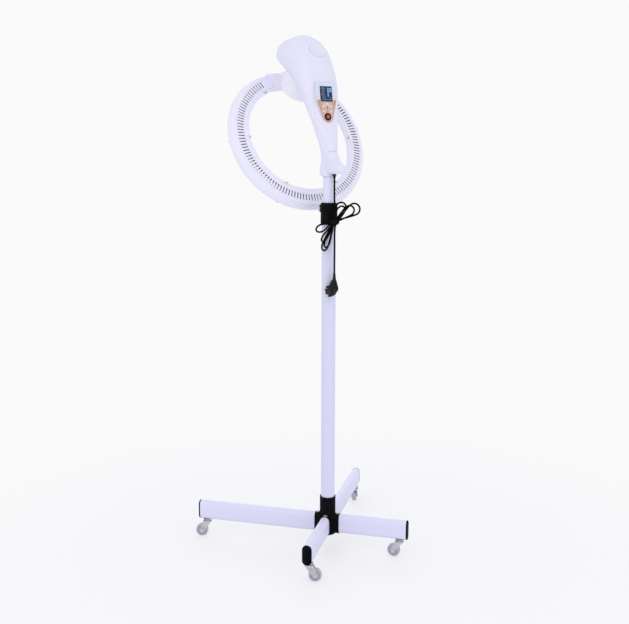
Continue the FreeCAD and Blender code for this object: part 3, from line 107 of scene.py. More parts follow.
class Signal:
    """One output socket of a shader graph, on which arithmetic adds Math nodes."""

    def __init__(self, graph: "Graph", socket: bpy.types.NodeSocket) -> None:
        """Keep the graph and the socket that this signal stands for."""
        self.graph = graph
        self.socket = socket

    def _math(self, operation: str, *values: Value) -> "Signal":
        """Add one Math node over this graph.

        Args:
            operation: the Math node's operation.
            values: its inputs, in order.

        Returns:
            The node's result.
        """
        return self.graph.node("ShaderNodeMath", {"operation": operation}, dict(enumerate(values)))

    def __add__(self, other: Value) -> "Signal":
        """Sum of this and another value."""
        return self._math("ADD", self, other)

    def __radd__(self, other: Value) -> "Signal":
        """Sum, with this on the right."""
        return self._math("ADD", other, self)

    def __sub__(self, other: Value) -> "Signal":
        """Difference."""
        return self._math("SUBTRACT", self, other)

    def __rsub__(self, other: Value) -> "Signal":
        """Difference, with this on the right."""
        return self._math("SUBTRACT", other, self)

    def __mul__(self, other: Value) -> "Signal":
        """Product."""
        return self._math("MULTIPLY", self, other)

    def __rmul__(self, other: Value) -> "Signal":
        """Product, with this on the right."""
        return self._math("MULTIPLY", other, self)

    def __truediv__(self, other: Value) -> "Signal":
        """Quotient."""
        return self._math("DIVIDE", self, other)

    def ramp(self, low: float, high: float) -> "Signal":
        """Smooth step of this signal.

        Args:
            low: value at which the step starts from 0.
            high: value at which it reaches 1.

        Returns:
            The step, from 0 to 1.
        """
        settings = {"interpolation_type": "SMOOTHSTEP"}
        values = {"Value": self, "From Min": low, "From Max": high, "To Min": 0.0, "To Max": 1.0}
        return self.graph.node("ShaderNodeMapRange", settings, values)


class Graph:
    """A material under construction."""

    def __init__(self, name: str) -> None:
        """Start an empty material of that name."""
        self.material = bpy.data.materials.new(name)
        self.material.use_nodes = True
        self.tree = self.material.node_tree
        self.tree.nodes.clear()
        self.exit = self.tree.nodes.new("ShaderNodeOutputMaterial")

    def node(self, kind: str, settings: dict, values: dict, output: Union[int, str] = 0) -> Signal:
        """Add one node.

        Args:
            kind: the node's type name.
            settings: properties that are set before its sockets.
            values: numbers, tuples or signals, by socket name or index.
            output: which output to return.

        Returns:
            That output.
        """
        made = self.tree.nodes.new(kind)
        for key, value in settings.items():
            setattr(made, key, value)
        for key, value in values.items():
            if isinstance(value, Signal):
                self.tree.links.new(value.socket, made.inputs[key])
            else:
                made.inputs[key].default_value = value
        return Signal(self, made.outputs[output])

    def place(self) -> Signal:
        """Position on the object, in metres."""
        return self.node("ShaderNodeTexCoord", {}, {}, "Object")

    def stretched(self, scale: Point) -> Signal:
        """Position on the object, scaled along each axis."""
        values = {0: self.place(), 1: scale}
        return self.node("ShaderNodeVectorMath", {"operation": "MULTIPLY"}, values)

    def axis(self, name: str) -> Signal:
        """One coordinate of the position: X, Y or Z."""
        return self.node("ShaderNodeSeparateXYZ", {}, {0: self.place()}, name)

    def noise(self, scale: float, detail: float = 3.0, where: Signal | None = None) -> Signal:
        """Soft noise of a given scale, from 0 to 1."""
        values = {"Vector": where or self.place(), "Scale": scale, "Detail": detail}
        return self.node("ShaderNodeTexNoise", {}, values, 0)

    def mix(self, share: Value, first: Union[Colour, Signal], second: Union[Colour, Signal]) -> Signal:
        """Blend of two colours.

        Args:
            share: how much of the second, from 0 to 1.
            first: colour at 0.
            second: colour at 1.

        Returns:
            The blended colour.
        """
        made = self.tree.nodes.new("ShaderNodeMix")
        made.data_type = "RGBA"
        for index, value in ((0, share), (6, first), (7, second)):
            if isinstance(value, Signal):
                self.tree.links.new(value.socket, made.inputs[index])
            elif index:
                made.inputs[index].default_value = (*value, 1.0)
            else:
                made.inputs[index].default_value = value
        return Signal(self, made.outputs[2])

    def bump(self, height: Signal, depth: float) -> Signal:
        """Surface relief of a height signal, with its depth in metres."""
        values = {"Height": height, "Strength": 1.0, "Distance": depth}
        return self.node("ShaderNodeBump", {}, values)

    def principled(self, values: dict) -> Signal:
        """Principled surface, joined to the material's exit.

        Args:
            values: numbers, tuples or signals, by socket name.

        Returns:
            The surface.
        """
        shader = self.node("ShaderNodeBsdfPrincipled", {}, values)
        self.tree.links.new(shader.socket, self.exit.inputs["Surface"])
        return shader


@dataclass(frozen=True)
class Finish:
    """A surface finish: base colour and gloss; subclasses add what a real one shows."""

    name: str
    colour: Colour
    roughness: float = 0.4
    metallic: float = 0.0
    coat: float = 0.0
    specular: float = 0.5

    def rgba(self) -> tuple[float, float, float, float]:
        """Base colour with full opacity."""
        return (*self.colour, 1.0)

    def build(self) -> bpy.types.Material:
        """The finish's material, made once.

        Returns:
            The material.
        """
        name = self.name + "_finish"
        made = bpy.data.materials.get(name)
        if made is None:
            graph = Graph(name)
            self.surface(graph)
            made = graph.material
            made.diffuse_color = self.rgba()
        return made

    def surface(self, graph: Graph) -> None:
        """Join this finish's shader into a graph.

        Args:
            graph: material under construction.
        """
        graph.principled({"Base Color": self.rgba(), "Roughness": self.roughness,
                          "Metallic": self.metallic, "Coat Weight": self.coat,
                          "Specular IOR Level": self.specular})


@dataclass(frozen=True)
class MouldedPlastic(Finish):
    """Injection-moulded plastic: slight flow clouds, fine grain, handling marks in the gloss."""

    shade: Colour = (0.6, 0.6, 0.6)
    cloud_scale: float = 9.0
    cloud: float = 0.12
    grain_scale: float = 900.0
    grain_depth: float = 0.00002
    smear_scale: float = 38.0
    marks: float = 0.10

    def surface(self, graph: Graph) -> None:
        """Clouded colour, grain relief and uneven gloss.

        Args:
            graph: material under construction.
        """
        clouds = graph.noise(self.cloud_scale, 4.0).ramp(0.35, 0.72) * self.cloud
        smears = graph.noise(self.smear_scale, 5.0, graph.stretched((1.0, 1.0, 0.35))).ramp(0.4, 0.75)
        grain = graph.noise(self.grain_scale, 2.0)
        graph.principled({
            "Base Color": graph.mix(clouds, self.colour, self.shade),
            "Roughness": self.roughness + smears * self.marks,
            "Metallic": self.metallic,
            "Coat Weight": self.coat,
            "Specular IOR Level": self.specular,
            "Normal": graph.bump(grain, self.grain_depth)})


@dataclass(frozen=True)
class FadedBezel(MouldedPlastic):
    """Glossy panel moulding whose lower part is tinted like the key plate in it."""

    blush: Colour = (0.86, 0.62, 0.58)
    fade_low: float = 1.362
    fade_high: float = 1.378
    blush_amount: float = 0.45

    def surface(self, graph: Graph) -> None:
        """Clear at the top and tinted below.

        Args:
            graph: material under construction.
        """
        low = 1.0 - graph.axis("Z").ramp(self.fade_low, self.fade_high)
        clouds = graph.noise(self.cloud_scale, 3.0).ramp(0.35, 0.72) * self.cloud
        base = graph.mix(clouds, self.colour, self.shade)
        graph.principled({
            "Base Color": graph.mix(low * self.blush_amount, base, self.blush),
            "Roughness": self.roughness + clouds * self.marks,
            "Coat Weight": self.coat,
            "Specular IOR Level": self.specular,
            "Normal": graph.bump(graph.noise(self.grain_scale, 2.0), self.grain_depth)})


@dataclass(frozen=True)
class PowderCoat(Finish):
    """Powder-coated steel tube: orange peel, and dust near the floor."""

    dust: Colour = (0.62, 0.60, 0.60)
    dust_from: float = 0.02
    dust_height: float = 0.16
    speck_scale: float = 160.0
    streak_scale: float = 30.0
    peel_scale: float = 420.0
    peel_depth: float = 0.00006

    def surface(self, graph: Graph) -> None:
        """Orange-peel relief under a film that dulls towards the floor.

        Args:
            graph: material under construction.
        """
        low = 1.0 - graph.axis("Z").ramp(self.dust_from, self.dust_height)
        specks = graph.noise(self.speck_scale, 4.0).ramp(0.42, 0.8)
        film = low * (0.10 + specks * 0.22)
        streaks = graph.noise(self.streak_scale, 4.0, graph.stretched((1.0, 1.0, 0.12))).ramp(0.45, 0.8)
        graph.principled({
            "Base Color": graph.mix(film, self.colour, self.dust),
            "Roughness": self.roughness + film * 0.5 + streaks * 0.06,
            "Coat Weight": self.coat,
            "Specular IOR Level": self.specular,
            "Normal": graph.bump(graph.noise(self.peel_scale, 1.0), self.peel_depth)})


@dataclass(frozen=True)
class WorkedMetal(Finish):
    """Plated or drawn metal: tool lines along one direction, and dull patches."""

    lines: Point = (40.0, 40.0, 900.0)
    tarnish: Colour = (0.30, 0.29, 0.28)
    tarnish_amount: float = 0.35
    tarnish_scale: float = 120.0
    line_depth: float = 0.00002

    def surface(self, graph: Graph) -> None:
        """Fine lines in relief and gloss over patches of tarnish.

        Args:
            graph: material under construction.
        """
        lines = graph.noise(1.0, 2.0, graph.stretched(self.lines))
        patches = graph.noise(self.tarnish_scale, 4.0).ramp(0.42, 0.78) * self.tarnish_amount
        graph.principled({
            "Base Color": graph.mix(patches, self.colour, self.tarnish),
            "Roughness": self.roughness + lines * 0.16 + patches * 0.25,
            "Metallic": self.metallic,
            "Coat Weight": self.coat,
            "Normal": graph.bump(lines, self.line_depth)})


@dataclass(frozen=True)
class Rubber(Finish):
    """Soft moulded rubber or flexible sheath: matt, scuffed lighter on its high spots."""

    scuff: Colour = (0.10, 0.10, 0.10)
    scuff_amount: float = 0.4
    scuff_scale: float = 75.0
    pore_scale: float = 1400.0
    pore_depth: float = 0.00002

    def surface(self, graph: Graph) -> None:
        """Matt skin with pale scuffs and fine pores.

        Args:
            graph: material under construction.
        """
        scuffs = graph.noise(self.scuff_scale, 5.0).ramp(0.5, 0.85) * self.scuff_amount
        pores = graph.noise(self.pore_scale, 2.0)
        graph.principled({
            "Base Color": graph.mix(scuffs, self.colour, self.scuff),
            "Roughness": self.roughness + scuffs * 0.2,
            "Specular IOR Level": self.specular,
            "Normal": graph.bump(pores, self.pore_depth)})


@dataclass(frozen=True)
class TintedFoil(Finish):
    """Printed metallic film of the key plate: brushed, with painted light that pales it along its middle and
    painted shade that darkens it towards its sides.
    """

    pale: Colour = (0.85, 0.70, 0.64)
    half_width: float = 0.030
    brush_lines: Point = (60.0, 60.0, 2600.0)
    brush_depth: float = 0.00001

    def surface(self, graph: Graph) -> None:
        """Fine brushing under painted light: a colour that pales towards the middle, with painted shade
        towards the sides.

        Args:
            graph: material under construction.
        """
        across = graph.axis("X")
        # Painted light: share of the pale tone, highest at the plate's middle; the sides keep the darker tone
        # as painted shade.
        middle = 1.0 - (across * across / self.half_width ** 2).ramp(0.05, 0.75)
        brush = graph.noise(1.0, 3.0, graph.stretched(self.brush_lines))
        graph.principled({
            "Base Color": graph.mix(middle * 0.75 + brush * 0.25, self.colour, self.pale),
            "Roughness": self.roughness + brush * 0.12,
            "Metallic": self.metallic,
            "Coat Weight": self.coat,
            "Normal": graph.bump(brush, self.brush_depth)})


@dataclass(frozen=True)
class LitGlass(Finish):
    """Smoked display window over a dim liquid-crystal glow."""

    glow: Colour = (0.05, 0.11, 0.22)
    glow_strength: float = 0.35
    glow_scale: float = 55.0

    def surface(self, graph: Graph) -> None:
        """Dark gloss with an uneven glow behind it.

        Args:
            graph: material under construction.
        """
        uneven = graph.noise(self.glow_scale, 3.0).ramp(0.3, 0.75)
        graph.principled({
            "Base Color": graph.mix(uneven * 0.5, self.colour, self.glow),
            "Roughness": self.roughness + uneven * 0.04,
            "Coat Weight": self.coat,
            "Specular IOR Level": self.specular,
            "Emission Color": graph.mix(uneven * 0.7, self.colour, self.glow),
            "Emission Strength": self.glow_strength})


@dataclass(frozen=True)
class Glow(Finish):
    """Lit mark of the panel: a plain colour that also emits."""

    strength: float = 0.8
    flicker_scale: float = 300.0
    dimming: float = 0.7

    def surface(self, graph: Graph) -> None:
        """Emitting surface, slightly uneven.

        Args:
            graph: material under construction.
        """
        flicker = graph.noise(self.flicker_scale, 2.0).ramp(0.2, 0.8) * 0.25
        dim = tuple(part * self.dimming for part in self.colour)
        lit = graph.mix(flicker, self.colour, dim)
        graph.principled({"Base Color": lit, "Roughness": self.roughness,
                          "Emission Color": lit, "Emission Strength": self.strength})


@dataclass(frozen=True)
class QuartzTube(Finish):
    """Frosted quartz of the heater lamps, warm where the filament shows through."""

    warm: Colour = (0.95, 0.60, 0.34)
    band_scale: float = 90.0
    frost_scale: float = 900.0
    frost_depth: float = 0.00001

    def surface(self, graph: Graph) -> None:
        """Frosted tube with warm bands.

        Args:
            graph: material under construction.
        """
        bands = graph.noise(self.band_scale, 3.0).ramp(0.35, 0.7)
        graph.principled({
            "Base Color": graph.mix(bands * 0.55, self.colour, self.warm),
            "Roughness": self.roughness + bands * 0.1,
            "Coat Weight": self.coat,
            "Normal": graph.bump(graph.noise(self.frost_scale, 2.0), self.frost_depth)})


# ---------------------------------------------------------------- finishes of this object
SHELL_WHITE = MouldedPlastic("shell_white", (0.785, 0.773, 0.905), 0.34, coat=0.15, specular=0.35,
                             shade=(0.745, 0.730, 0.875), cloud_scale=5.0, cloud=0.35,
                             grain_scale=1300.0, grain_depth=0.00001, marks=0.08)
# Painted light: the ring is the same white plastic as the shell, made paler to offset the shade that falls on
# it.
RING_WHITE_PAINTED_LIGHT = MouldedPlastic("ring_white_painted_light", (0.850, 0.835, 0.945), 0.38, coat=0.10, specular=0.35,
                            shade=(0.790, 0.775, 0.890), cloud_scale=7.0, cloud=0.35,
                            grain_scale=1500.0, grain_depth=0.00001, marks=0.10)
CAP_TINT = MouldedPlastic("cap_tint", (0.780, 0.768, 0.905), 0.16, coat=0.5,
                          shade=(0.71, 0.70, 0.89), cloud_scale=30.0, cloud=0.4)
PANEL_WHITE = FadedBezel("panel_white", (0.660, 0.715, 0.860), 0.16, coat=0.6,
                             shade=(0.62, 0.67, 0.82), cloud_scale=20.0, cloud=0.3, grain_depth=0.000004)
# Painted light: the drum is the same white plastic as the shell, made paler to offset the dome's shadow on
# it.
DRUM_WHITE_PAINTED_LIGHT = MouldedPlastic("drum_white_painted_light", (0.880, 0.865, 0.945), 0.40, coat=0.05, specular=0.3,
                            shade=(0.830, 0.820, 0.920), cloud_scale=12.0, cloud=0.35,
                            grain_scale=1300.0, grain_depth=0.00001)
LOWER_POLE_WHITE = PowderCoat("lower_pole_white", (0.690, 0.690, 0.860), 0.36, coat=0.15, specular=0.35)
UPPER_POLE_WHITE = PowderCoat("upper_pole_white", (0.760, 0.750, 0.930), 0.30, coat=0.2, specular=0.35)
LEG_WHITE = PowderCoat("leg_white", (0.750, 0.742, 0.935), 0.40, coat=0.12, specular=0.35)
BLACK_MOULDING = MouldedPlastic("black_moulding", (0.0020, 0.0020, 0.0030), 0.50, specular=0.05,
                                shade=(0.012, 0.012, 0.015), cloud_scale=45.0, cloud=0.5,
                                grain_scale=1100.0, grain_depth=0.00005)
NATURAL_NYLON = MouldedPlastic("natural_nylon", (0.66, 0.65, 0.66), 0.48, shade=(0.52, 0.50, 0.48),
                               cloud_scale=60.0, cloud=0.5)
CERAMIC = MouldedPlastic("lamp_ceramic", (0.80, 0.77, 0.69), 0.62, shade=(0.62, 0.58, 0.50),
                         cloud_scale=140.0, cloud=0.5, grain_depth=0.00005)
# Key tops: a paler colour than the plate, partly their own tone and partly a painted highlight.
KEY_TOP = MouldedPlastic("key_top", (0.80, 0.62, 0.54), 0.45, shade=(0.70, 0.50, 0.43),
                         cloud_scale=120.0, cloud=0.5)
POWER_RED = MouldedPlastic("power_red", (0.045, 0.0025, 0.003), 0.28, coat=0.06, specular=0.12,
                           shade=(0.09, 0.008, 0.008), cloud_scale=110.0, cloud=0.5)
BOARD_GREEN = MouldedPlastic("board_green", (0.02, 0.16, 0.07), 0.5, shade=(0.30, 0.26, 0.10),
                             cloud_scale=300.0, cloud=0.4)
ZINC = WorkedMetal("zinc_plate", (0.62, 0.62, 0.64), 0.30, 1.0)
FORK_ZINC = WorkedMetal("fork_zinc", (0.62, 0.61, 0.65), 0.34, 1.0, lines=(500.0, 500.0, 80.0),
                        tarnish=(0.30, 0.29, 0.31), tarnish_amount=0.45)
BRIGHT_SHEET = WorkedMetal("reflector_sheet", (0.80, 0.80, 0.81), 0.16, 1.0, lines=(300.0, 300.0, 40.0),
                           tarnish=(0.55, 0.48, 0.40), tarnish_amount=0.3)
PIN_NICKEL = WorkedMetal("pin_nickel", (0.74, 0.72, 0.70), 0.22, 1.0, lines=(1200.0, 200.0, 1200.0),
                         tarnish=(0.45, 0.38, 0.30), tarnish_amount=0.3)
WHEEL_GREY = Rubber("wheel_grey", (0.470, 0.460, 0.540), 0.55, scuff=(0.28, 0.27, 0.30), scuff_amount=0.5)
CORD_BLACK = Rubber("cord_black", (0.0020, 0.0020, 0.0025), 0.55, specular=0.05,
                    scuff=(0.014, 0.014, 0.016), scuff_amount=0.4)
PLUG_BLACK = Rubber("plug_black", (0.0060, 0.0060, 0.0065), 0.42, specular=0.14,
                    scuff=(0.040, 0.040, 0.042), scuff_amount=0.4)
# Key plate: its own copper tone, with painted light along its middle and painted shade towards its sides.
KEY_PLATE_FOIL = TintedFoil("key_plate_foil", (0.480, 0.290, 0.215), 0.36, 0.15,
                            pale=(0.660, 0.455, 0.385), coat=0.1)
DISPLAY_GLASS = LitGlass("display_glass", (0.006, 0.010, 0.032), 0.16, coat=0.1, specular=0.25,
                         glow=(0.020, 0.040, 0.105), glow_strength=0.5)
DISPLAY_BLUE = Glow("display_blue", (0.125, 0.250, 0.430), 0.4, strength=0.65)
DISPLAY_PALE = Glow("display_pale", (0.190, 0.235, 0.370), 0.4, strength=0.4)
POWER_MARK = Glow("power_mark", (0.560, 0.160, 0.125), 0.4, strength=0.16)
PRINT_WHITE = MouldedPlastic("print_white", (0.86, 0.80, 0.80), 0.5, shade=(0.78, 0.70, 0.70), cloud=0.3)
# Dark print and lamp on the key plate, and also the painted shade in the ring's screw recesses.
PRINT_DARK_AND_PAINTED_SHADE = MouldedPlastic("print_dark_and_painted_shade", (0.055, 0.035, 0.035), 0.5, shade=(0.10, 0.07, 0.07), cloud=0.3)
COVER_GREY = MouldedPlastic("wheel_cover_grey", (0.50, 0.49, 0.56), 0.45, shade=(0.36, 0.35, 0.40),
                            cloud_scale=90.0, cloud=0.5)
LAMP_QUARTZ = QuartzTube("lamp_quartz", (0.86, 0.80, 0.74), 0.28, coat=0.5)
STRAP_WEAVE = Rubber("strap_weave", (0.0050, 0.0050, 0.0060), 0.8, specular=0.05,
                     scuff=(0.025, 0.025, 0.028), scuff_amount=0.6)


# ---------------------------------------------------------------- mesh work
class MeshWork:
    """Builds pieces from bmesh steps and sets them on the model."""

    def __init__(self, frame: dict) -> None:
        """Keep the loaded frame."""
        self.frame = frame

    def dress(self, nodes: Sequence[str], finish: Finish) -> None:
        """Give carried-over nodes one finish.

        Args:
            nodes: names of the nodes.
            finish: their finish.
        """
        material = finish.build()
        for node in nodes:
            piece = self.frame["nodes"][node]
            piece.data.materials.clear()
            piece.data.materials.append(material)
            piece.data.polygons.foreach_set("material_index", [0] * len(piece.data.polygons))
        LOG.info("dressed %s in %s", ", ".join(nodes), finish.name)

    def piece(self, name: str, build: Callable[[bmesh.types.BMesh], None], finish: Finish, body: Body,
              slot: str) -> bpy.types.Object:
        """Make one piece of the scene.

        Args:
            name: the piece's name.
            build: fills an empty bmesh, in the model's frame.
            finish: its finish.
            body: the body it rides on.
            slot: not used.

        Returns:
            The new object.
        """
        mesh = bpy.data.meshes.new(name)
        work = bmesh.new()
        build(work)
        bmesh.ops.recalc_face_normals(work, faces=work.faces)
        limit = math.radians(SMOOTH_ANGLE)
        for face in work.faces:
            face.smooth = True
        for edge in work.edges:
            if len(edge.link_faces) == 2 and edge.calc_face_angle(0.0) > limit:
                edge.smooth = False
        work.to_mesh(mesh)
        work.free()
        made = bpy.data.objects.new(name, mesh)
        bpy.context.scene.collection.objects.link(made)
        mesh.materials.append(finish.build())
        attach(made, body.value)
        LOG.info("made %s with %d faces on %s", name, len(mesh.polygons), body.value)
        return made


def bridge(work: bmesh.types.BMesh, rings: Sequence[Sequence[bmesh.types.BMVert]], closed: bool) -> None:
    """Join rings of as many points each by faces.

    Args:
        work: mesh to add to.
        rings: the rings, in order.
        closed: True where the last ring joins the first.
    """
    pairs = list(zip(rings, rings[1:]))
    if closed:
        pairs.append((rings[-1], rings[0]))
    for low, high in pairs:
        for step in range(len(low)):
            after = (step + 1) % len(low)
            work.faces.new((low[step], low[after], high[after], high[step]))


def wall(work: bmesh.types.BMesh, grid: Sequence[Sequence[Sequence[Vector]]]) -> None:
    """Closed wall from a grid of outer and inner points.

    Args:
        work: mesh to add to.
        grid: rows of (outer, inner) points, in millimetres.
    """
    verts = [[[work.verts.new(point * MM) for point in pair] for pair in line] for line in grid]
    rows, columns = len(verts) - 1, len(verts[0]) - 1
    for low, high in zip(verts, verts[1:]):
        for here in range(columns):
            corners = (low[here], low[here + 1], high[here + 1], high[here])
            work.faces.new([corner[0] for corner in corners])
            work.faces.new([corner[1] for corner in reversed(corners)])
    rim = [verts[0][column] for column in range(columns)]
    rim += [verts[row][columns] for row in range(rows)]
    rim += [verts[rows][columns - column] for column in range(columns)]
    rim += [verts[rows - row][0] for row in range(rows)]
    for first, second in zip(rim, rim[1:] + rim[:1]):
        work.faces.new((first[0], first[1], second[1], second[0]))


def series(terms: Sequence[float], value: float) -> float:
    """Sum of the terms, each times the next power of a value, from the power 0 on."""
    return sum(term * value ** power for power, term in enumerate(terms))


def frame_matrix(origin: Vector, x_dir: Vector, z_dir: Vector) -> Matrix:
    """Matrix of a local frame.

    Args:
        origin: its origin.
        x_dir: direction of its x axis.
        z_dir: direction of its z axis.

    Returns:
        The matrix from the local frame to the model's.
    """
    z_axis = z_dir.normalized()
    x_axis = (x_dir - z_axis * x_dir.dot(z_axis)).normalized()
    y_axis = z_axis.cross(x_axis)
    return Matrix.Translation(origin) @ Matrix((x_axis, y_axis, z_axis)).transposed().to_4x4()


def spun(work: bmesh.types.BMesh, profile: Sequence[tuple[float, float]], matrix: Matrix,
         steps: int = 32) -> None:
    """Turn a closed profile about a local z axis.

    Args:
        work: mesh to add to.
        profile: points (radius, height) of the loop.
        matrix: from the local frame to the model's.
        steps: number of steps round.
    """
    turns = [2 * math.pi * step / steps for step in range(steps)]
    rings = [[work.verts.new(matrix @ Vector((radius * math.cos(turn), radius * math.sin(turn), height)))
              for turn in turns] for radius, height in profile]
    bridge(work, rings, True)


def tube(work: bmesh.types.BMesh, path: Sequence[Vector], radius: float, steps: int = 8,
         closed: bool = False) -> None:
    """Round tube along a path.

    Args:
        work: mesh to add to.
        path: its points, in the model's frame.
        radius: of the tube.
        steps: number of steps round.
        closed: True where the path is a loop.
    """
    count = len(path)
    rings = []
    side = None
    for index in range(count):
        before = path[index - 1] if index or closed else path[index]
        after = path[(index + 1) % count] if index < count - 1 or closed else path[index]
        along = (after - before).normalized()
        if side is None:
            side = along.orthogonal().normalized()
        side = (side - along * side.dot(along)).normalized()
        other = along.cross(side)
        rings.append([work.verts.new(path[index] + (side * math.cos(a) + other * math.sin(a)) * radius)
                      for a in (2 * math.pi * step / steps for step in range(steps))])
    bridge(work, rings, closed)
    if not closed:
        work.faces.new(list(reversed(rings[0])))
        work.faces.new(rings[-1])


def slab(work: bmesh.types.BMesh, outline: Sequence[tuple[float, float]], low: float, high: float,
         matrix: Matrix) -> None:
    """Flat plate with an outline and a thickness.

    Args:
        work: mesh to add to.
        outline: points (x, y), anticlockwise.
        low: height of its back.
        high: height of its front.
        matrix: from the local frame to the model's.
    """
    back = [work.verts.new(matrix @ Vector((x, y, low))) for x, y in outline]
    front = [work.verts.new(matrix @ Vector((x, y, high))) for x, y in outline]
    work.faces.new(list(reversed(back)))
    work.faces.new(front)
    for index in range(len(outline)):
        after = (index + 1) % len(outline)
        work.faces.new((back[index], back[after], front[after], front[index]))


def rectangle(x: float, y: float, width: float, height: float) -> list[tuple[float, float]]:
    """Corners of an upright rectangle about a centre, anticlockwise."""
    left, right, low, high = x - width / 2, x + width / 2, y - height / 2, y + height / 2
    return [(left, low), (right, low), (right, high), (left, high)]


def disc(x: float, y: float, radius: float, steps: int = 24) -> list[tuple[float, float]]:
    """Points of a circle, anticlockwise."""
    turns = (2 * math.pi * step / steps for step in range(steps))
    return [(x + radius * math.cos(turn), y + radius * math.sin(turn)) for turn in turns]


# ---------------------------------------------------------------- base
@dataclass(frozen=True)
class CasterPlace:
    """Where a caster stands: its leg's angle, the reach along it, and the way its fork points.

    Angles are in degrees, and the reach is in metres.
    """

    leg_angle: float
    reach: float
    yaw: float


@dataclass
class WheeledBase:
    """Hub, four legs with end caps, and the casters under them.

    cover is the thread guard's profile as (radius, distance from the wheel's middle), in millimetres.
    """

    work: MeshWork
    places: dict[Corner, CasterPlace] = field(default_factory=lambda: {
        Corner.FRONT_LEFT: CasterPlace(225.0, 0.225, -28.0),
        Corner.FRONT_RIGHT: CasterPlace(-45.0, 0.225, 128.0),
        Corner.BACK_LEFT: CasterPlace(135.0, 0.395, 150.0),
        Corner.BACK_RIGHT: CasterPlace(45.0, 0.395, 60.0)})
    trail: float = 0.018
    wheel_radius: float = 0.019
    cover: Pairs = ((7.2, 5.1), (7.2, 6.0), (8.4, 6.6), (9.2, 6.2),
                    (11.4, 6.2), (12.2, 6.7), (13.1, 6.0), (13.1, 5.1))

    def dress(self) -> None:
        """Finish the base's own nodes."""
        corners = [corner.value for corner in Corner]
        self.work.dress(["base_hub", "leg_caps"], BLACK_MOULDING)
        self.work.dress(["leg_" + corner for corner in corners], LEG_WHITE)
        self.work.dress(["hub_bolts", "caster_stems"] + ["caster_axle_" + corner for corner in corners], ZINC)
        self.work.dress(["caster_fork_" + corner for corner in corners], FORK_ZINC)
        self.work.dress(["caster_wheel_" + corner for corner in corners], WHEEL_GREY)

    def wheel_matrix(self, corner: Corner, side: int) -> Matrix:
        """Frame at a wheel's middle whose z axis leaves one side of it.

        Args:
            corner: which wheel.
            side: 1 or -1.

        Returns:
            The matrix from that frame to the model's.
        """
        place = self.places[corner]
        leg, yaw = math.radians(place.leg_angle), math.radians(place.yaw)
        ahead = Vector((math.cos(yaw), math.sin(yaw), 0.0))
        middle = Vector((math.cos(leg), math.sin(leg), 0.0)) * place.reach + ahead * self.trail
        middle.z = self.wheel_radius
        return frame_matrix(middle, ahead, Vector((-ahead.y, ahead.x, 0.0)) * side)

    def build(self) -> None:
        """Dress the nodes and add a thread guard in each side of each wheel."""
        self.dress()
        profile = [(radius * MM, height * MM) for radius, height in self.cover]
        for corner in Corner:
            def covers(work: bmesh.types.BMesh, corner: Corner = corner) -> None:
                """Both guards of one wheel."""
                for side in (-1, 1):
                    spun(work, profile, self.wheel_matrix(corner, side))
            body = Body["WHEEL_" + corner.name]
            self.work.piece("wheel_covers_" + corner.value, covers, COVER_GREY, body, "wheel_grey")


# ---------------------------------------------------------------- column
@dataclass
class Column:
    """Telescopic pole with its clamp and lever.  Places round the clamp are in degrees."""

    work: MeshWork
    clamp_radius: float = 0.0242
    rib_low: float = 1.007
    rib_high: float = 1.058
    rib_width: float = 0.0022
    rib_proud: float = 0.0005
    rib_first: float = 170.0
    rib_pitch: float = 20.0
    rib_count: int = 11

    def dress(self) -> None:
        """Finish the column's own nodes."""
        self.work.dress(["lower_pole"], LOWER_POLE_WHITE)
        self.work.dress(["upper_pole"], UPPER_POLE_WHITE)
        self.work.dress(["pole_bush", "clamp_collar", "clamp_lever"], BLACK_MOULDING)
        self.work.dress(["clamp_bolt"], ZINC)

    def clamp_ribs(self, work: bmesh.types.BMesh) -> None:
        """Low upright ribs round the clamp, for grip.

        Args:
            work: mesh to add to.
        """
        middle, height = (self.rib_low + self.rib_high) / 2, self.rib_high - self.rib_low
        for number in range(self.rib_count):
            angle = math.radians(self.rib_first + self.rib_pitch * number)
            out = Vector((math.cos(angle), math.sin(angle), 0.0))
            seat = frame_matrix(out * self.clamp_radius + Vector((0, 0, middle)), Vector((0, 0, 1)), out)
            slab(work, rectangle(0.0, 0.0, height, self.rib_width), -self.rib_proud, self.rib_proud, seat)

    def build(self) -> None:
        """Dress the nodes and add the clamp's ribs."""
        self.dress()
        self.work.piece("clamp_ribs", self.clamp_ribs, BLACK_MOULDING, Body.STAND, "base_black")


# ---------------------------------------------------------------- housing and panel
@dataclass(frozen=True)
class Plate:
    """Extent of a closing plate in the housing's wall, in millimetres.

    half_width is at its low edge and grows by flare for each millimetre of height.  sink is how
    far it lies under the wall beside it.  facing is 1 towards the front and -1 towards the back.
    """

    low: float
    high: float
    half_width: float
    flare: float
    columns: int
    rows: int
    sink: float
    facing: int


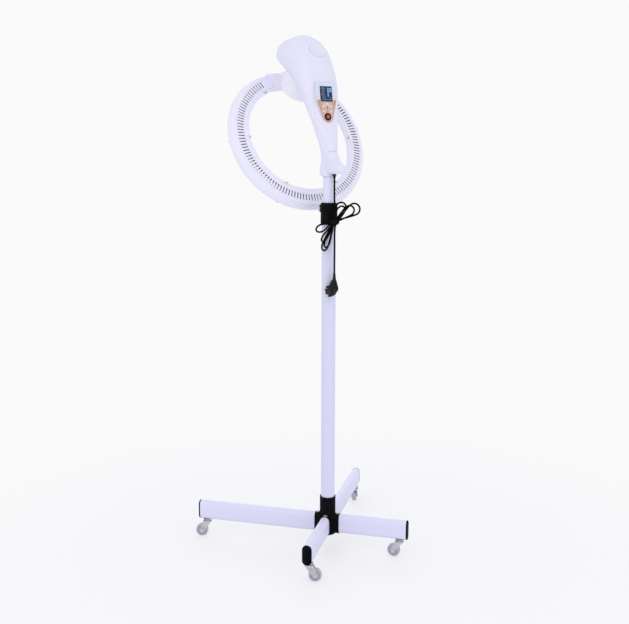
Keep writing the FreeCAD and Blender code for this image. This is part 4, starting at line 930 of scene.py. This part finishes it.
@dataclass
class Housing:
    """Moulded housing over the orbit drive.

    orbit_point is in metres.  The dust lip's profile, as (radius, distance along the orbit's
    axis), and all sizes of the two closing plates are in millimetres.  The plates stand where the
    packed shell is cut away, and the brow's and the nape's curves follow its own faces beside them:
    front, middle, fall and turn are power series of the rise.
    """

    work: MeshWork
    orbit_point: Point = (0.0, 0.172, 1.398)
    orbit_angle: float = 50.0
    seal: Pairs = ((57.1, -56.0), (58.2, -56.0), (58.2, -45.0), (57.1, -44.0))
    seal_steps: int = 96
    brow_plate: Plate = Plate(1407.75, 1420.5, 27.0, 0.0, 24, 8, 0.4, 1)
    brow_front: tuple[float, ...] = (26.31, 0.2292, 0.00256)
    brow_half_width: float = 66.0
    brow_depth: float = 47.5
    brow_deepening: float = 0.247
    flat_front: float = 30.0
    nape_plate: Plate = Plate(1207.5, 1271.0, 16.2, 0.26, 32, 24, 0.35, -1)
    nape_middle: tuple[float, ...] = (30.6, 10.75, 2.75, -1.35)
    nape_fall: tuple[float, ...] = (7.6, -5.5, 2.2)
    nape_turn: tuple[float, ...] = (3.0, -2.3, 0.5)
    nape_height: float = 1240.0
    nape_rise: float = 40.0
    nape_breadth: float = 25.0
    nape_thickness: float = 1.5

    def dress(self) -> None:
        """Finish the housing's own nodes."""
        self.work.dress(["housing_shell", "housing_back_cover", "front_fascia"], SHELL_WHITE)
        # The drum's white is painted light: paler than the shell's, against the dome's shadow.
        self.work.dress(["rotor_drum"], DRUM_WHITE_PAINTED_LIGHT)
        self.work.dress(["top_cap"], CAP_TINT)
        self.work.dress(["pole_socket", "orbit_bearing", "slip_ring"], NATURAL_NYLON)
        self.work.dress(["motor_plate", "gear_motor", "rotor_shaft", "grub_screws"], ZINC)
        self.work.dress(["cord_gland"], PLUG_BLACK)

    def drum_seal(self, work: bmesh.types.BMesh) -> None:
        """Dust lip round the turning drum, inside the housing's opening.

        Args:
            work: mesh to add to.
        """
        angle = math.radians(self.orbit_angle)
        axis = Vector((0, math.cos(angle), -math.sin(angle)))
        seat = frame_matrix(Vector(self.orbit_point), Vector((1, 0, 0)), axis)
        spun(work, [(radius * MM, along * MM) for radius, along in self.seal], seat, self.seal_steps)

    def brow_wall(self, across: float, height: float) -> tuple[float, float]:
        """Outer and inner face of the strip over the panel.

        It is flush where the shell is cut back to its flat front, and under the shell beside that.

        Args:
            across: from the plane of symmetry, in millimetres.
            height: above the floor, in millimetres.

        Returns:
            The y of both faces, in millimetres.
        """
        rise, sink = height - self.brow_plate.low, self.brow_plate.sink
        half_depth = self.brow_depth + self.brow_deepening * rise
        oval = 1.0 - math.sqrt(1.0 - (across / self.brow_half_width) ** 2)
        face = series(self.brow_front, rise) + half_depth * oval
        outer = face + max(0.0, min(face - self.flat_front, sink))
        return outer, max(face + 2 * sink, self.flat_front + sink)

    def nape_wall(self, across: float, height: float) -> tuple[float, float]:
        """Outer and inner face of the plate in the neck's back.

        Args:
            across: from the plane of symmetry, in millimetres.
            height: above the floor, in millimetres.

        Returns:
            The y of both faces, in millimetres.
        """
        rise, side = (height - self.nape_height) / self.nape_rise, (across / self.nape_breadth) ** 2
        fall = side * series(self.nape_fall, rise) + side * side * series(self.nape_turn, rise)
        face = series(self.nape_middle, rise) - fall - self.nape_plate.sink
        return face, face - self.nape_thickness

    def close(self, work: bmesh.types.BMesh, plate: Plate,
              faces: Callable[[float, float], tuple[float, float]]) -> None:
        """Fill a plate's extent.

        Args:
            work: mesh to add to.
            plate: the extent.
            faces: gives the y of the outer and inner face at (across, height).
        """
        grid = []
        for row in range(plate.rows + 1):
            height = plate.low + (plate.high - plate.low) * row / plate.rows
            reach = plate.half_width + plate.flare * (height - plate.low)
            line = []
            for column in range(plate.columns + 1):
                across = plate.facing * reach * (2 * column / plate.columns - 1)
                line.append([Vector((across, face, height)) for face in faces(across, height)])
            grid.append(line)
        wall(work, grid)

    def brow(self, work: bmesh.types.BMesh) -> None:
        """Flush strip of the housing's front between the panel and the dome."""
        self.close(work, self.brow_plate, self.brow_wall)

    def nape(self, work: bmesh.types.BMesh) -> None:
        """Plate in the back of the housing's neck, a hair under the wall around it."""
        self.close(work, self.nape_plate, self.nape_wall)

    def build(self) -> None:
        """Dress the nodes, and add the two closing plates and the drum's dust lip."""
        self.dress()
        self.work.piece("housing_brow", self.brow, SHELL_WHITE, Body.HEAD, "shell_white")
        self.work.piece("housing_nape", self.nape, SHELL_WHITE, Body.HEAD, "shell_white")
        # The dust lip takes the drum's paler white, painted light against the dome's shadow.
        self.work.piece("drum_seal", self.drum_seal, DRUM_WHITE_PAINTED_LIGHT, Body.RING, "shell_white")


@dataclass
class ControlPanel:
    """Display, key plate, keys and power button on the front of the housing.

    Places are (across, up) from the panel's centre, and fronts are heights over its face.
    """

    work: MeshWork
    centre: Point = (0.0, 0.015, 1.355)
    tilt: float = 9.0
    ink: float = 0.00008
    glass_front: float = 0.0003
    plate_front: float = 0.0002
    rows: tuple[str, ...] = ("25", "10", "30", "15")
    row_top: float = 0.0345
    row_pitch: float = 0.0083
    digit_left: float = -0.0142
    digit_pitch: float = 0.0054
    digit_height: float = 0.0060
    digit_width: float = 0.0033
    digit_line: float = 0.0009
    dash_across: float = -0.0035
    dash_width: float = 0.0030
    dash_height: float = 0.0012
    level_shapes: tuple[Rectangle, ...] = (
        (0.0064, 0.0242, 0.0037, 0.0253), (0.0130, 0.0092, 0.0040, 0.0026), (0.0005, 0.0034, 0.0340, 0.0009))
    step_first: Rectangle = (0.0138, 0.0262, 0.0086, 0.0034)
    step_pitch: float = 0.0043
    step_count: int = 3
    power_up: float = -0.046
    power_front: float = 0.0022
    power_seat: float = 0.0001
    power_ring: Pairs = ((0.0031, 0.0), (0.0033, 0.0004), (0.0049, 0.0004), (0.0051, 0.0))
    power_bar: Rectangle = (0.0, 0.0008, 0.0017, 0.0058)
    power_proud: float = 0.0005
    keys: Pairs = ((-0.013, -0.016), (0.013, -0.016), (-0.013, -0.030), (0.013, -0.030))
    key_line_share: float = 0.42
    key_line: Rectangle = (0.0, -0.0005, 0.0034, 0.0009)
    arc_radii: tuple[float, ...] = (0.0140, 0.0108)
    arc_half_line: float = 0.0007
    arc_up: float = -0.0218
    arc_from: float = 52.0
    arc_sweep: float = 76.0
    arc_steps: int = 12
    lamp_place: tuple[float, float] = (0.0005, -0.0195)
    lamp_radius: float = 0.0018
    lamp_front: float = 0.0009
    scale_first: Rectangle = (0.0, -0.0245, 0.0046, 0.0008)
    scale_pitch: float = 0.0034
    scale_count: int = 3

    def matrix(self) -> Matrix:
        """From the panel's frame (across, up, out) to the model's.

        Returns:
            The matrix.
        """
        angle = math.radians(self.tilt)
        out = Vector((0, -math.cos(angle), math.sin(angle)))
        return frame_matrix(Vector(self.centre), Vector((1, 0, 0)), out)

    def dress(self) -> None:
        """Finish the panel's own nodes."""
        self.work.dress(["panel_bezel"], PANEL_WHITE)
        self.work.dress(["panel_plate"], KEY_PLATE_FOIL)
        self.work.dress(["display_window"], DISPLAY_GLASS)
        self.work.dress(["control_board"], BOARD_GREEN)
        self.work.dress(["power_button"], POWER_RED)
        # The keys' paler colour is partly a painted highlight.
        self.work.dress(["key_%d" % number for number in range(1, 5)], KEY_TOP)

    def flat(self, work: bmesh.types.BMesh, outline: Sequence[tuple[float, float]], front: float) -> None:
        """Thin printed or lit shape on the panel.

        Args:
            work: mesh to add to.
            outline: its points (across, up), anticlockwise.
            front: height of the surface it lies on.
        """
        slab(work, outline, front, front + self.ink, self.matrix())

    def digit(self, work: bmesh.types.BMesh, shape: str, x: float, y: float) -> None:
        """Seven-bar numeral.

        Args:
            work: mesh to add to.
            shape: the numeral.
            x: across, of its centre.
            y: up, of its centre.
        """
        bars = {"0": "abcdef", "1": "bc", "2": "abged", "3": "abgcd", "5": "afgcd"}[shape]
        half_w, half_h, thick = self.digit_width / 2, self.digit_height / 2, self.digit_line
        places = {"a": (0, half_h, True), "g": (0, 0, True), "d": (0, -half_h, True),
                  "f": (-half_w, half_h / 2, False), "b": (half_w, half_h / 2, False),
                  "e": (-half_w, -half_h / 2, False), "c": (half_w, -half_h / 2, False)}
        for name in bars:
            dx, dy, level = places[name]
            width, height = (2 * half_w, thick) if level else (thick, half_h - thick)
            self.flat(work, rectangle(x + dx, y + dy, width, height), self.glass_front)

    def numerals(self, work: bmesh.types.BMesh) -> None:
        """Four rows of small numerals down the left of the display.

        Args:
            work: mesh to add to.
        """
        for row, shapes in enumerate(self.rows):
            up = self.row_top - self.row_pitch * row
            for place, shape in enumerate(shapes):
                self.digit(work, shape, self.digit_left + self.digit_pitch * place, up)
            dash = rectangle(self.dash_across, up, self.dash_width, self.dash_height)
            self.flat(work, dash, self.glass_front)

    def level_bars(self, work: bmesh.types.BMesh) -> None:
        """Upright level bar, scale beside it, and the line under them.

        Args:
            work: mesh to add to.
        """
        x, y, width, height = self.step_first
        steps = [(x, y + self.step_pitch * step, width, height) for step in range(self.step_count)]
        for shape in [*self.level_shapes, *steps]:
            self.flat(work, rectangle(*shape), self.glass_front)

    def power_mark(self, work: bmesh.types.BMesh) -> None:
        """Plain bar in a ring on the power button.

        Args:
            work: mesh to add to.
        """
        low = self.power_front - self.power_seat
        centre = self.matrix() @ Vector((0, self.power_up, low))
        along = self.matrix().to_3x3() @ Vector((0, 0, 1))
        spun(work, self.power_ring, frame_matrix(centre, Vector((1, 0, 0)), along))
        x, y, width, height = self.power_bar
        bar = rectangle(x, self.power_up + y, width, height)
        slab(work, bar, low, self.power_front + self.power_proud, self.matrix())

    def arcs(self, work: bmesh.types.BMesh) -> None:
        """Two printed arcs under the display, and a line beside each key.

        Args:
            work: mesh to add to.
        """
        angles = [math.radians(self.arc_from + self.arc_sweep * step / self.arc_steps)
                  for step in range(self.arc_steps + 1)]
        for radius in self.arc_radii:
            outline = [(edge * math.cos(a), edge * math.sin(a) + self.arc_up)
                       for edge, run in ((radius + self.arc_half_line, angles),
                                         (radius - self.arc_half_line, angles[::-1])) for a in run]
            self.flat(work, outline, self.plate_front)
        line_x, line_y, width, height = self.key_line
        for x, y in self.keys:
            line = rectangle(x * self.key_line_share + line_x, y + line_y, width, height)
            self.flat(work, line, self.plate_front)

    def indicator(self, work: bmesh.types.BMesh) -> None:
        """Dark status lamp between the keys, with its printed scale.

        Args:
            work: mesh to add to.
        """
        lamp = disc(*self.lamp_place, self.lamp_radius)
        slab(work, lamp, self.plate_front, self.lamp_front, self.matrix())
        x, y, width, height = self.scale_first
        for step in range(self.scale_count):
            line = rectangle(x, y - self.scale_pitch * step, width, height)
            self.flat(work, line, self.plate_front)

    def build(self) -> None:
        """Dress the nodes and add what is printed or lit."""
        self.dress()
        self.work.piece("display_numerals", self.numerals, DISPLAY_PALE, Body.HEAD, "display_glass")
        self.work.piece("display_bars", self.level_bars, DISPLAY_BLUE, Body.HEAD, "display_glass")
        self.work.piece("power_button_mark", self.power_mark, POWER_MARK, Body.POWER, "power_red")
        self.work.piece("key_plate_arcs", self.arcs, PRINT_WHITE, Body.HEAD, "panel_copper")
        self.work.piece("key_plate_lamp", self.indicator, PRINT_DARK_AND_PAINTED_SHADE, Body.HEAD, "panel_copper")


# ---------------------------------------------------------------- ring
@dataclass
class HeatRing:
    """Heated ring: shells, vent band, reflector and lamps.  Places round it are degrees from its top."""

    work: MeshWork
    tilt: float = 26.1
    centre: Point = (0.0, 0.1794, 1.2476)
    radius: float = 0.197
    twist: float = 32.4
    lamp_depth: float = -0.006
    lamp_radius: float = 0.005
    lamp_from: float = 22.0
    lamp_to: float = 170.0
    cap_step: float = 0.7
    cap_points: int = 4
    cap_proud: float = 0.0006
    clip_proud: float = 0.0005
    clip_wire: float = 0.0006
    clip_points: int = 20
    clip_places: tuple[float, ...] = (42.0, 60.0, 78.0, 114.0, 132.0, 150.0)
    screw_places: tuple[float, ...] = (30.0, 90.0, 150.0)
    screw_end: float = 0.0323
    screw_proud: float = 0.0016
    slot_length: float = 0.0038
    slot_width: float = 0.0009
    slot_under: float = 0.0002
    slot_over: float = 0.0001

    def matrix(self) -> Matrix:
        """From the ring's frame (across, top, front) to the model's.

        Returns:
            The matrix.
        """
        angle = math.radians(self.tilt)
        front = Vector((0, -math.cos(angle), math.sin(angle)))
        return frame_matrix(Vector(self.centre), Vector((1, 0, 0)), front)

    def lamp_point(self, angle: float, out: float = 0.0, ahead: float = 0.0) -> Vector:
        """Point near a lamp's axis.

        Args:
            angle: from the ring's top, in degrees.
            out: further from the ring's middle.
            ahead: further to the ring's front.

        Returns:
            The point, in the model's frame.
        """
        twist = math.radians(self.twist)
        radial = self.radius + self.lamp_depth * math.sin(twist) + out
        height = self.lamp_depth * math.cos(twist) + ahead
        turn = math.radians(90 + angle)
        return self.matrix() @ Vector((radial * math.cos(turn), radial * math.sin(turn), height))

    def dress(self) -> None:
        """Finish the ring's own nodes."""
        # The ring's white is painted light: paler than the shell's, against its shade.
        self.work.dress(["ring_front_shell", "ring_vent_band", "ring_back_shell"], RING_WHITE_PAINTED_LIGHT)
        self.work.dress(["ring_reflector"], BRIGHT_SHEET)
        self.work.dress(["heater_lamps"], LAMP_QUARTZ)
        self.work.dress(["lamp_holders"], CERAMIC)
        self.work.dress(["ring_screws"], ZINC)

    def lamp_ends(self, work: bmesh.types.BMesh) -> None:
        """Metal cap on each end of each lamp.

        Args:
            work: mesh to add to.
        """
        for side in (-1, 1):
            for start, step in ((self.lamp_from, 1), (self.lamp_to, -1)):
                path = [self.lamp_point(side * (start + step * part * self.cap_step))
                        for part in range(self.cap_points)]
                tube(work, path, self.lamp_radius + self.cap_proud, 16)

    def lamp_clips(self, work: bmesh.types.BMesh) -> None:
        """Wire clips that hold the lamps between their holders.

        Args:
            work: mesh to add to.
        """
        out = self.lamp_radius + self.clip_proud
        turns = [2 * math.pi * step / self.clip_points for step in range(self.clip_points)]
        for angle in [side * place for place in self.clip_places for side in (-1, 1)]:
            path = [self.lamp_point(angle, out * math.cos(turn), out * math.sin(turn)) for turn in turns]
            tube(work, path, self.clip_wire, 6, True)

    def screw_slots(self, work: bmesh.types.BMesh) -> None:
        """Painted shade: a dark cross over each screw head round the ring, where its cross recess is in
        shade.

        Args:
            work: mesh to add to.
        """
        twist = math.radians(self.twist)
        for angle in [side * place for place in self.screw_places for side in (-1, 1)]:
            turn = math.radians(90 + angle)
            radial = Vector((math.cos(turn), math.sin(turn), 0.0))
            for end in (-1, 1):
                along = (radial * math.cos(twist) - Vector((0, 0, math.sin(twist)))) * end
                seat = radial * self.radius + along * (self.screw_end + self.screw_proud)
                base = self.matrix() @ frame_matrix(seat, Vector((-radial.y, radial.x, 0.0)), along)
                size = (self.slot_length, self.slot_width)
                for width, height in (size, size[::-1]):
                    slab(work, rectangle(0, 0, width, height), -self.slot_under, self.slot_over, base)

    def build(self) -> None:
        """Dress the nodes, add the lamps' fittings, and lay painted shade in the screws' cross recesses."""
        self.dress()
        self.work.piece("lamp_end_caps", self.lamp_ends, ZINC, Body.RING, "steel_zinc")
        self.work.piece("lamp_clips", self.lamp_clips, ZINC, Body.RING, "steel_zinc")
        # Painted shade in each screw's cross recess.
        self.work.piece("ring_screw_recess_shade", self.screw_slots, PRINT_DARK_AND_PAINTED_SHADE, Body.RING, "steel_zinc")


# ---------------------------------------------------------------- cord
@dataclass(frozen=True)
class Turn:
    """One turn of the hank.  Its tip lies at (across, height), in millimetres.

    bend is the radius of its round end.  roll turns the loop about its own length, in degrees,
    so that a loop seen from its side looks narrow.  out is its depth at the round end.
    """

    across: float
    height: float
    bend: float
    roll: float
    out: float
    clockwise: bool = True


@dataclass
class MainsCord:
    """Flexible cord from the gland, tied in a hank, down to the moulded plug.

    The tie's height, the passes through it and the turns are in millimetres.
    """

    work: MeshWork
    radius: float = 0.0026
    hank_origin: Point = (-0.0032, -0.0375, 0.0)
    hank_turn: float = -30.4
    tie_height: float = 1013.0
    pass_angle: float = 2.39996
    pass_spread: float = 2.6
    pass_stretch: float = 1.15
    round_points: int = 9
    swell: float = 1.03
    turns: tuple[Turn, ...] = (
        Turn(-33.0, 931.0, 15.6, 58.0, 1.0), Turn(24.0, 1067.0, 15.6, 20.0, -2.0),
        Turn(-36.0, 957.0, 15.6, 62.0, 3.0, False), Turn(69.0, 1058.0, 16.5, 4.0, 3.5),
        Turn(-53.0, 988.0, 15.6, 55.0, 2.0), Turn(53.0, 1054.0, 15.6, 32.0, -1.5, False),
        Turn(-27.0, 940.0, 15.6, 64.0, 3.0), Turn(24.0, 1057.0, 15.6, 42.0, 4.0))
    tie_band: Pairs = ((0.0108, -0.0074), (0.0118, -0.0076), (0.0122, 0.0),
                       (0.0118, 0.0076), (0.0108, 0.0074))
    tie_steps: int = 40
    tie_flatness: float = 0.88
    overlap_proud: float = 0.0009
    overlap_share: float = 0.55
    upper_route: list[Point] = field(default_factory=lambda: [
        (0.0, -0.0295, 1.136), (-0.0002, -0.0298, 1.109), (-0.0005, -0.0312, 1.082),
        (-0.0016, -0.0340, 1.055), (-0.0032, -0.0375, 1.027)])
    lower_route: list[Point] = field(default_factory=lambda: [
        (-0.0032, -0.0375, 1.001), (-0.0043, -0.0385, 0.970), (-0.0050, -0.0402, 0.936),
        (-0.0061, -0.0412, 0.901), (-0.0068, -0.0425, 0.866)])

    def on_hank(self, across: float, height: float, out: float) -> Point:
        """Point of the hank's flat face.

        Args:
            across: along the hank, in millimetres.
            height: above the floor, in millimetres.
            out: towards the front, in millimetres.

        Returns:
            The point, in metres.
        """
        turn = math.radians(self.hank_turn)
        x = self.hank_origin[0] + (across * math.cos(turn) + out * math.sin(turn)) * MM
        y = self.hank_origin[1] + (across * math.sin(turn) - out * math.cos(turn)) * MM
        return (x, y, height * MM)

    def at_tie(self, number: int) -> Vector:
        """One pass through the tie, as (across, height, out) from its middle, in millimetres."""
        angle, reach = self.pass_angle * number, self.pass_spread * math.sqrt(number)
        return Vector((self.pass_stretch * reach * math.cos(angle), 0.0, reach * math.sin(angle)))

    def loop(self, number: int, turn: Turn) -> list[Point]:
        """One turn of the hank: out from the tie, round its end, and back through the tie.

        Args:
            number: how many turns lie before it.
            turn: its shape.

        Returns:
            The turn's control points, in metres.
        """
        root = self.tie_height
        reach = math.hypot(turn.across, turn.height - root)
        ahead = Vector((turn.across / reach, (turn.height - root) / reach, 0.0))
        side = Vector((-ahead.y, ahead.x, 0.0)) * (1 if turn.clockwise else -1)
        roll = math.radians(turn.roll)
        side = side * math.cos(roll) + Vector((0, 0, math.sin(roll)))
        lean = math.asin(turn.bend / (reach - turn.bend))
        sweep = math.pi + 2 * lean
        middle = ahead * (reach - turn.bend) + Vector((0, 0, turn.out))
        bend = turn.bend * self.swell
        points = []
        for step in range(self.round_points):
            angle = sweep / 2 - sweep * step / (self.round_points - 1)
            points.append(middle + ahead * bend * math.cos(angle) + side * bend * math.sin(angle))
        before, after = self.at_tie(number), self.at_tie(number + 1)
        points.insert(0, before.lerp(points[0], 0.5))
        points.append(after.lerp(points[-1], 0.5))
        points.append(after)
        return [self.on_hank(point.x, root + point.y, point.z) for point in points]

    def route(self) -> list[Point]:
        """Whole run of the cord: gland, turns of the hank, plug.

        Returns:
            Its control points, in metres.
        """
        points = list(self.upper_route)
        for number, turn in enumerate(self.turns):
            points += self.loop(number, turn)
        return points[:-1] + self.lower_route

    def length(self, spline_object: bpy.types.Object) -> float:
        """Length of the cord's own line.

        Args:
            spline_object: the cord.

        Returns:
            The length, in metres.
        """
        depsgraph = bpy.context.evaluated_depsgraph_get()
        line = spline_object.data.copy()
        line.bevel_depth = 0.0
        probe = bpy.data.objects.new("line_probe", line)
        bpy.context.scene.collection.objects.link(probe)
        depsgraph.update()
        mesh = bpy.data.meshes.new_from_object(probe.evaluated_get(depsgraph))
        total = sum((mesh.vertices[edge.vertices[0]].co - mesh.vertices[edge.vertices[1]].co).length
                    for edge in mesh.edges)
        bpy.data.objects.remove(probe)
        bpy.data.meshes.remove(mesh)
        return total

    def lay(self) -> bpy.types.Object:
        """Lay the cord as one smooth spline.

        Returns:
            The cord.
        """
        points = self.route()
        curve = bpy.data.curves.new("mains_cord", "CURVE")
        curve.dimensions = "3D"
        curve.bevel_depth = self.radius
        curve.bevel_resolution = 3
        curve.resolution_u = 5
        curve.use_fill_caps = True
        spline = curve.splines.new("NURBS")
        spline.points.add(len(points) - 1)
        for control, point in zip(spline.points, points):
            control.co = (*point, 1.0)
        spline.order_u = 3
        spline.use_endpoint_u = True
        made = bpy.data.objects.new("mains_cord", curve)
        bpy.context.scene.collection.objects.link(made)
        curve.materials.append(CORD_BLACK.build())
        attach(made, Body.HEAD.value)
        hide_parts("cord_upper", "cord_hank", "cord_lower")
        return made

    def tie(self, work: bmesh.types.BMesh) -> None:
        """Strap round the hank's waist, with its overlapped end.

        Args:
            work: mesh to add to.
        """
        turn = math.radians(self.hank_turn)
        middle = Vector(self.on_hank(0.0, self.tie_height, 0.0))
        across = Vector((math.cos(turn), math.sin(turn), 0.0))
        flatten = Matrix.Diagonal((1.0, self.tie_flatness, 1.0, 1.0))
        seat = frame_matrix(middle, across, Vector((0, 0, 1))) @ flatten
        spun(work, self.tie_band, seat, self.tie_steps)
        overlap = [(radius + self.overlap_proud, height * self.overlap_share)
                   for radius, height in self.tie_band]
        spun(work, overlap, seat, self.tie_steps)

    def build(self) -> None:
        """Dress the plug, lay the cord and tie it."""
        self.work.dress(["plug_body"], PLUG_BLACK)
        self.work.dress(["plug_pins"], PIN_NICKEL)
        cord = self.lay()
        tie = self.work.piece("hank_tie", self.tie, STRAP_WEAVE, Body.HEAD, "cord_black")
        total = self.length(cord)
        LOG.info("cord is %.3f m long", total)


# ---------------------------------------------------------------- studio
@dataclass(frozen=True)
class SoftLamp:
    """Square area lamp.  size is its side in metres, and power is in watts."""

    name: str
    place: Point
    target: Point
    size: float
    power: float
    tint: Colour

    def hang(self) -> None:
        """Add the lamp to the scene, facing its target."""
        data = bpy.data.lights.new(self.name, "AREA")
        data.shape = "SQUARE"
        data.size = self.size
        data.energy = self.power
        data.color = self.tint
        made = bpy.data.objects.new(self.name, data)
        made.location = self.place
        made.rotation_mode = "QUATERNION"
        made.rotation_quaternion = (Vector(self.target) - Vector(self.place)).to_track_quat("-Z", "Y")
        bpy.context.scene.collection.objects.link(made)


@dataclass
class Studio:
    """Camera, pale floor, backdrop and soft light.

    focal_pixels is the focal length in pixels of the picture, and sensor_width is in millimetres.
    """

    eye: Point = (-1.3666, -2.2447, 1.2000)
    right: Point = (0.86242, -0.50625, 0.00161)
    up: Point = (0.08525, 0.14841, 0.98524)
    focal_pixels: float = 900.0
    sensor_width: float = 36.0
    clip_near: float = 0.05
    clip_far: float = 40.0
    backdrop: float = 0.955
    sky: float = 0.90
    sky_tint: Colour = (0.93, 0.94, 1.0)
    floor_radius: float = 2.6
    floor_steps: int = 64
    floor_tint: Colour = (0.93, 0.93, 0.94)
    floor_glow: float = 0.55
    fade_from: float = 0.5
    fade_to: float = 1.6
    lamps: tuple[SoftLamp, ...] = (
        SoftLamp("key_lamp", (-2.6, -1.6, 3.0), (0, 0.1, 1.0), 2.4, 16.0, (1.0, 0.99, 0.98)),
        SoftLamp("fill_lamp", (0.4, -3.2, 1.3), (0, 0.1, 0.9), 2.4, 10.0, (0.98, 0.98, 1.0)),
        SoftLamp("back_lamp", (1.6, 2.6, 2.4), (0, 0.2, 1.1), 2.0, 14.0, (0.98, 0.99, 1.0)))

    def camera(self) -> None:
        """Camera at the viewing angle, with the frame's field of view."""
        data = bpy.data.cameras.new("studio_camera")
        data.sensor_width = self.sensor_width
        data.sensor_fit = "HORIZONTAL"
        data.lens = self.focal_pixels / PICTURE_WIDTH * self.sensor_width
        data.clip_start, data.clip_end = self.clip_near, self.clip_far
        made = bpy.data.objects.new("studio_camera", data)
        right = Vector(self.right).normalized()
        up = (Vector(self.up) - right * right.dot(Vector(self.up))).normalized()
        axes = Matrix((right, up, right.cross(up))).transposed().to_4x4()
        made.matrix_world = Matrix.Translation(Vector(self.eye)) @ axes
        bpy.context.scene.collection.objects.link(made)
        bpy.context.scene.camera = made

    def world(self) -> None:
        """Even light all round, with a near-white backdrop where the camera sees it."""
        world = bpy.data.worlds.new("studio_world")
        world.use_nodes = True
        tree = world.node_tree
        tree.nodes.clear()
        exit_node = tree.nodes.new("ShaderNodeOutputWorld")
        path = tree.nodes.new("ShaderNodeLightPath")
        seen = tree.nodes.new("ShaderNodeMath")
        seen.operation = "MAXIMUM"
        also = tree.nodes.new("ShaderNodeMath")
        also.operation = "MAXIMUM"
        tree.links.new(path.outputs["Is Camera Ray"], seen.inputs[0])
        tree.links.new(path.outputs["Is Glossy Ray"], seen.inputs[1])
        tree.links.new(seen.outputs[0], also.inputs[0])
        tree.links.new(path.outputs["Is Transmission Ray"], also.inputs[1])
        fill, shown, mixed = (tree.nodes.new(kind) for kind in
                              ("ShaderNodeBackground", "ShaderNodeBackground", "ShaderNodeMixShader"))
        fill.inputs["Color"].default_value = (*self.sky_tint, 1.0)
        fill.inputs["Strength"].default_value = self.sky
        shown.inputs["Color"].default_value = (self.backdrop,) * 3 + (1.0,)
        tree.links.new(also.outputs[0], mixed.inputs[0])
        tree.links.new(fill.outputs[0], mixed.inputs[1])
        tree.links.new(shown.outputs[0], mixed.inputs[2])
        tree.links.new(mixed.outputs[0], exit_node.inputs["Surface"])
        bpy.context.scene.world = world

    def floor(self) -> None:
        """Pale floor that keeps a faint shadow and fades into the backdrop."""
        graph = Graph("studio_floor")
        near = graph.node("ShaderNodeVectorMath", {"operation": "LENGTH"}, {0: graph.place()}, "Value")
        fade = self.floor_glow + near.ramp(self.fade_from, self.fade_to) * (1.0 - self.floor_glow)
        plain = graph.node("ShaderNodeBsdfDiffuse", {}, {"Color": (*self.floor_tint, 1.0)})
        lit = graph.node("ShaderNodeEmission", {}, {"Color": (self.backdrop,) * 3 + (1.0,), "Strength": 1.0})
        path = graph.node("ShaderNodeLightPath", {}, {}, "Is Camera Ray")
        mixed = graph.node("ShaderNodeMixShader", {}, {0: fade * path, 1: plain, 2: lit})
        graph.tree.links.new(mixed.socket, graph.exit.inputs["Surface"])
        mesh = bpy.data.meshes.new("studio_floor")
        work = bmesh.new()
        rim = [work.verts.new((self.floor_radius * math.cos(a), self.floor_radius * math.sin(a), 0.0))
               for a in (2 * math.pi * step / self.floor_steps for step in range(self.floor_steps))]
        work.faces.new(rim)
        work.to_mesh(mesh)
        work.free()
        made = bpy.data.objects.new("studio_floor", mesh)
        mesh.materials.append(graph.material)
        bpy.context.scene.collection.objects.link(made)

    def build(self) -> None:
        """Set the camera, backdrop, floor and lamps."""
        self.camera()
        self.world()
        self.floor()
        for lamp in self.lamps:
            lamp.hang()
        bpy.context.scene.view_settings.view_transform = "Standard"


def corners(box: tuple[Vector, Vector]) -> list[list[float]]:
    """Plain lists of a box's lowest and highest corners."""
    return [[float(part) for part in corner] for corner in box]


def main() -> None:
    """Build every sub-assembly in order."""
    logging.basicConfig(level=logging.INFO, format="%(name)s: %(message)s")
    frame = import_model()
    work = MeshWork(frame)
    for part in (Studio(), MainsCord(work), WheeledBase(work), Column(work), Housing(work),
                 ControlPanel(work), HeatRing(work)):
        part.build()
        LOG.info("built %s", type(part).__name__)


if __name__ == "__main__":
    main()
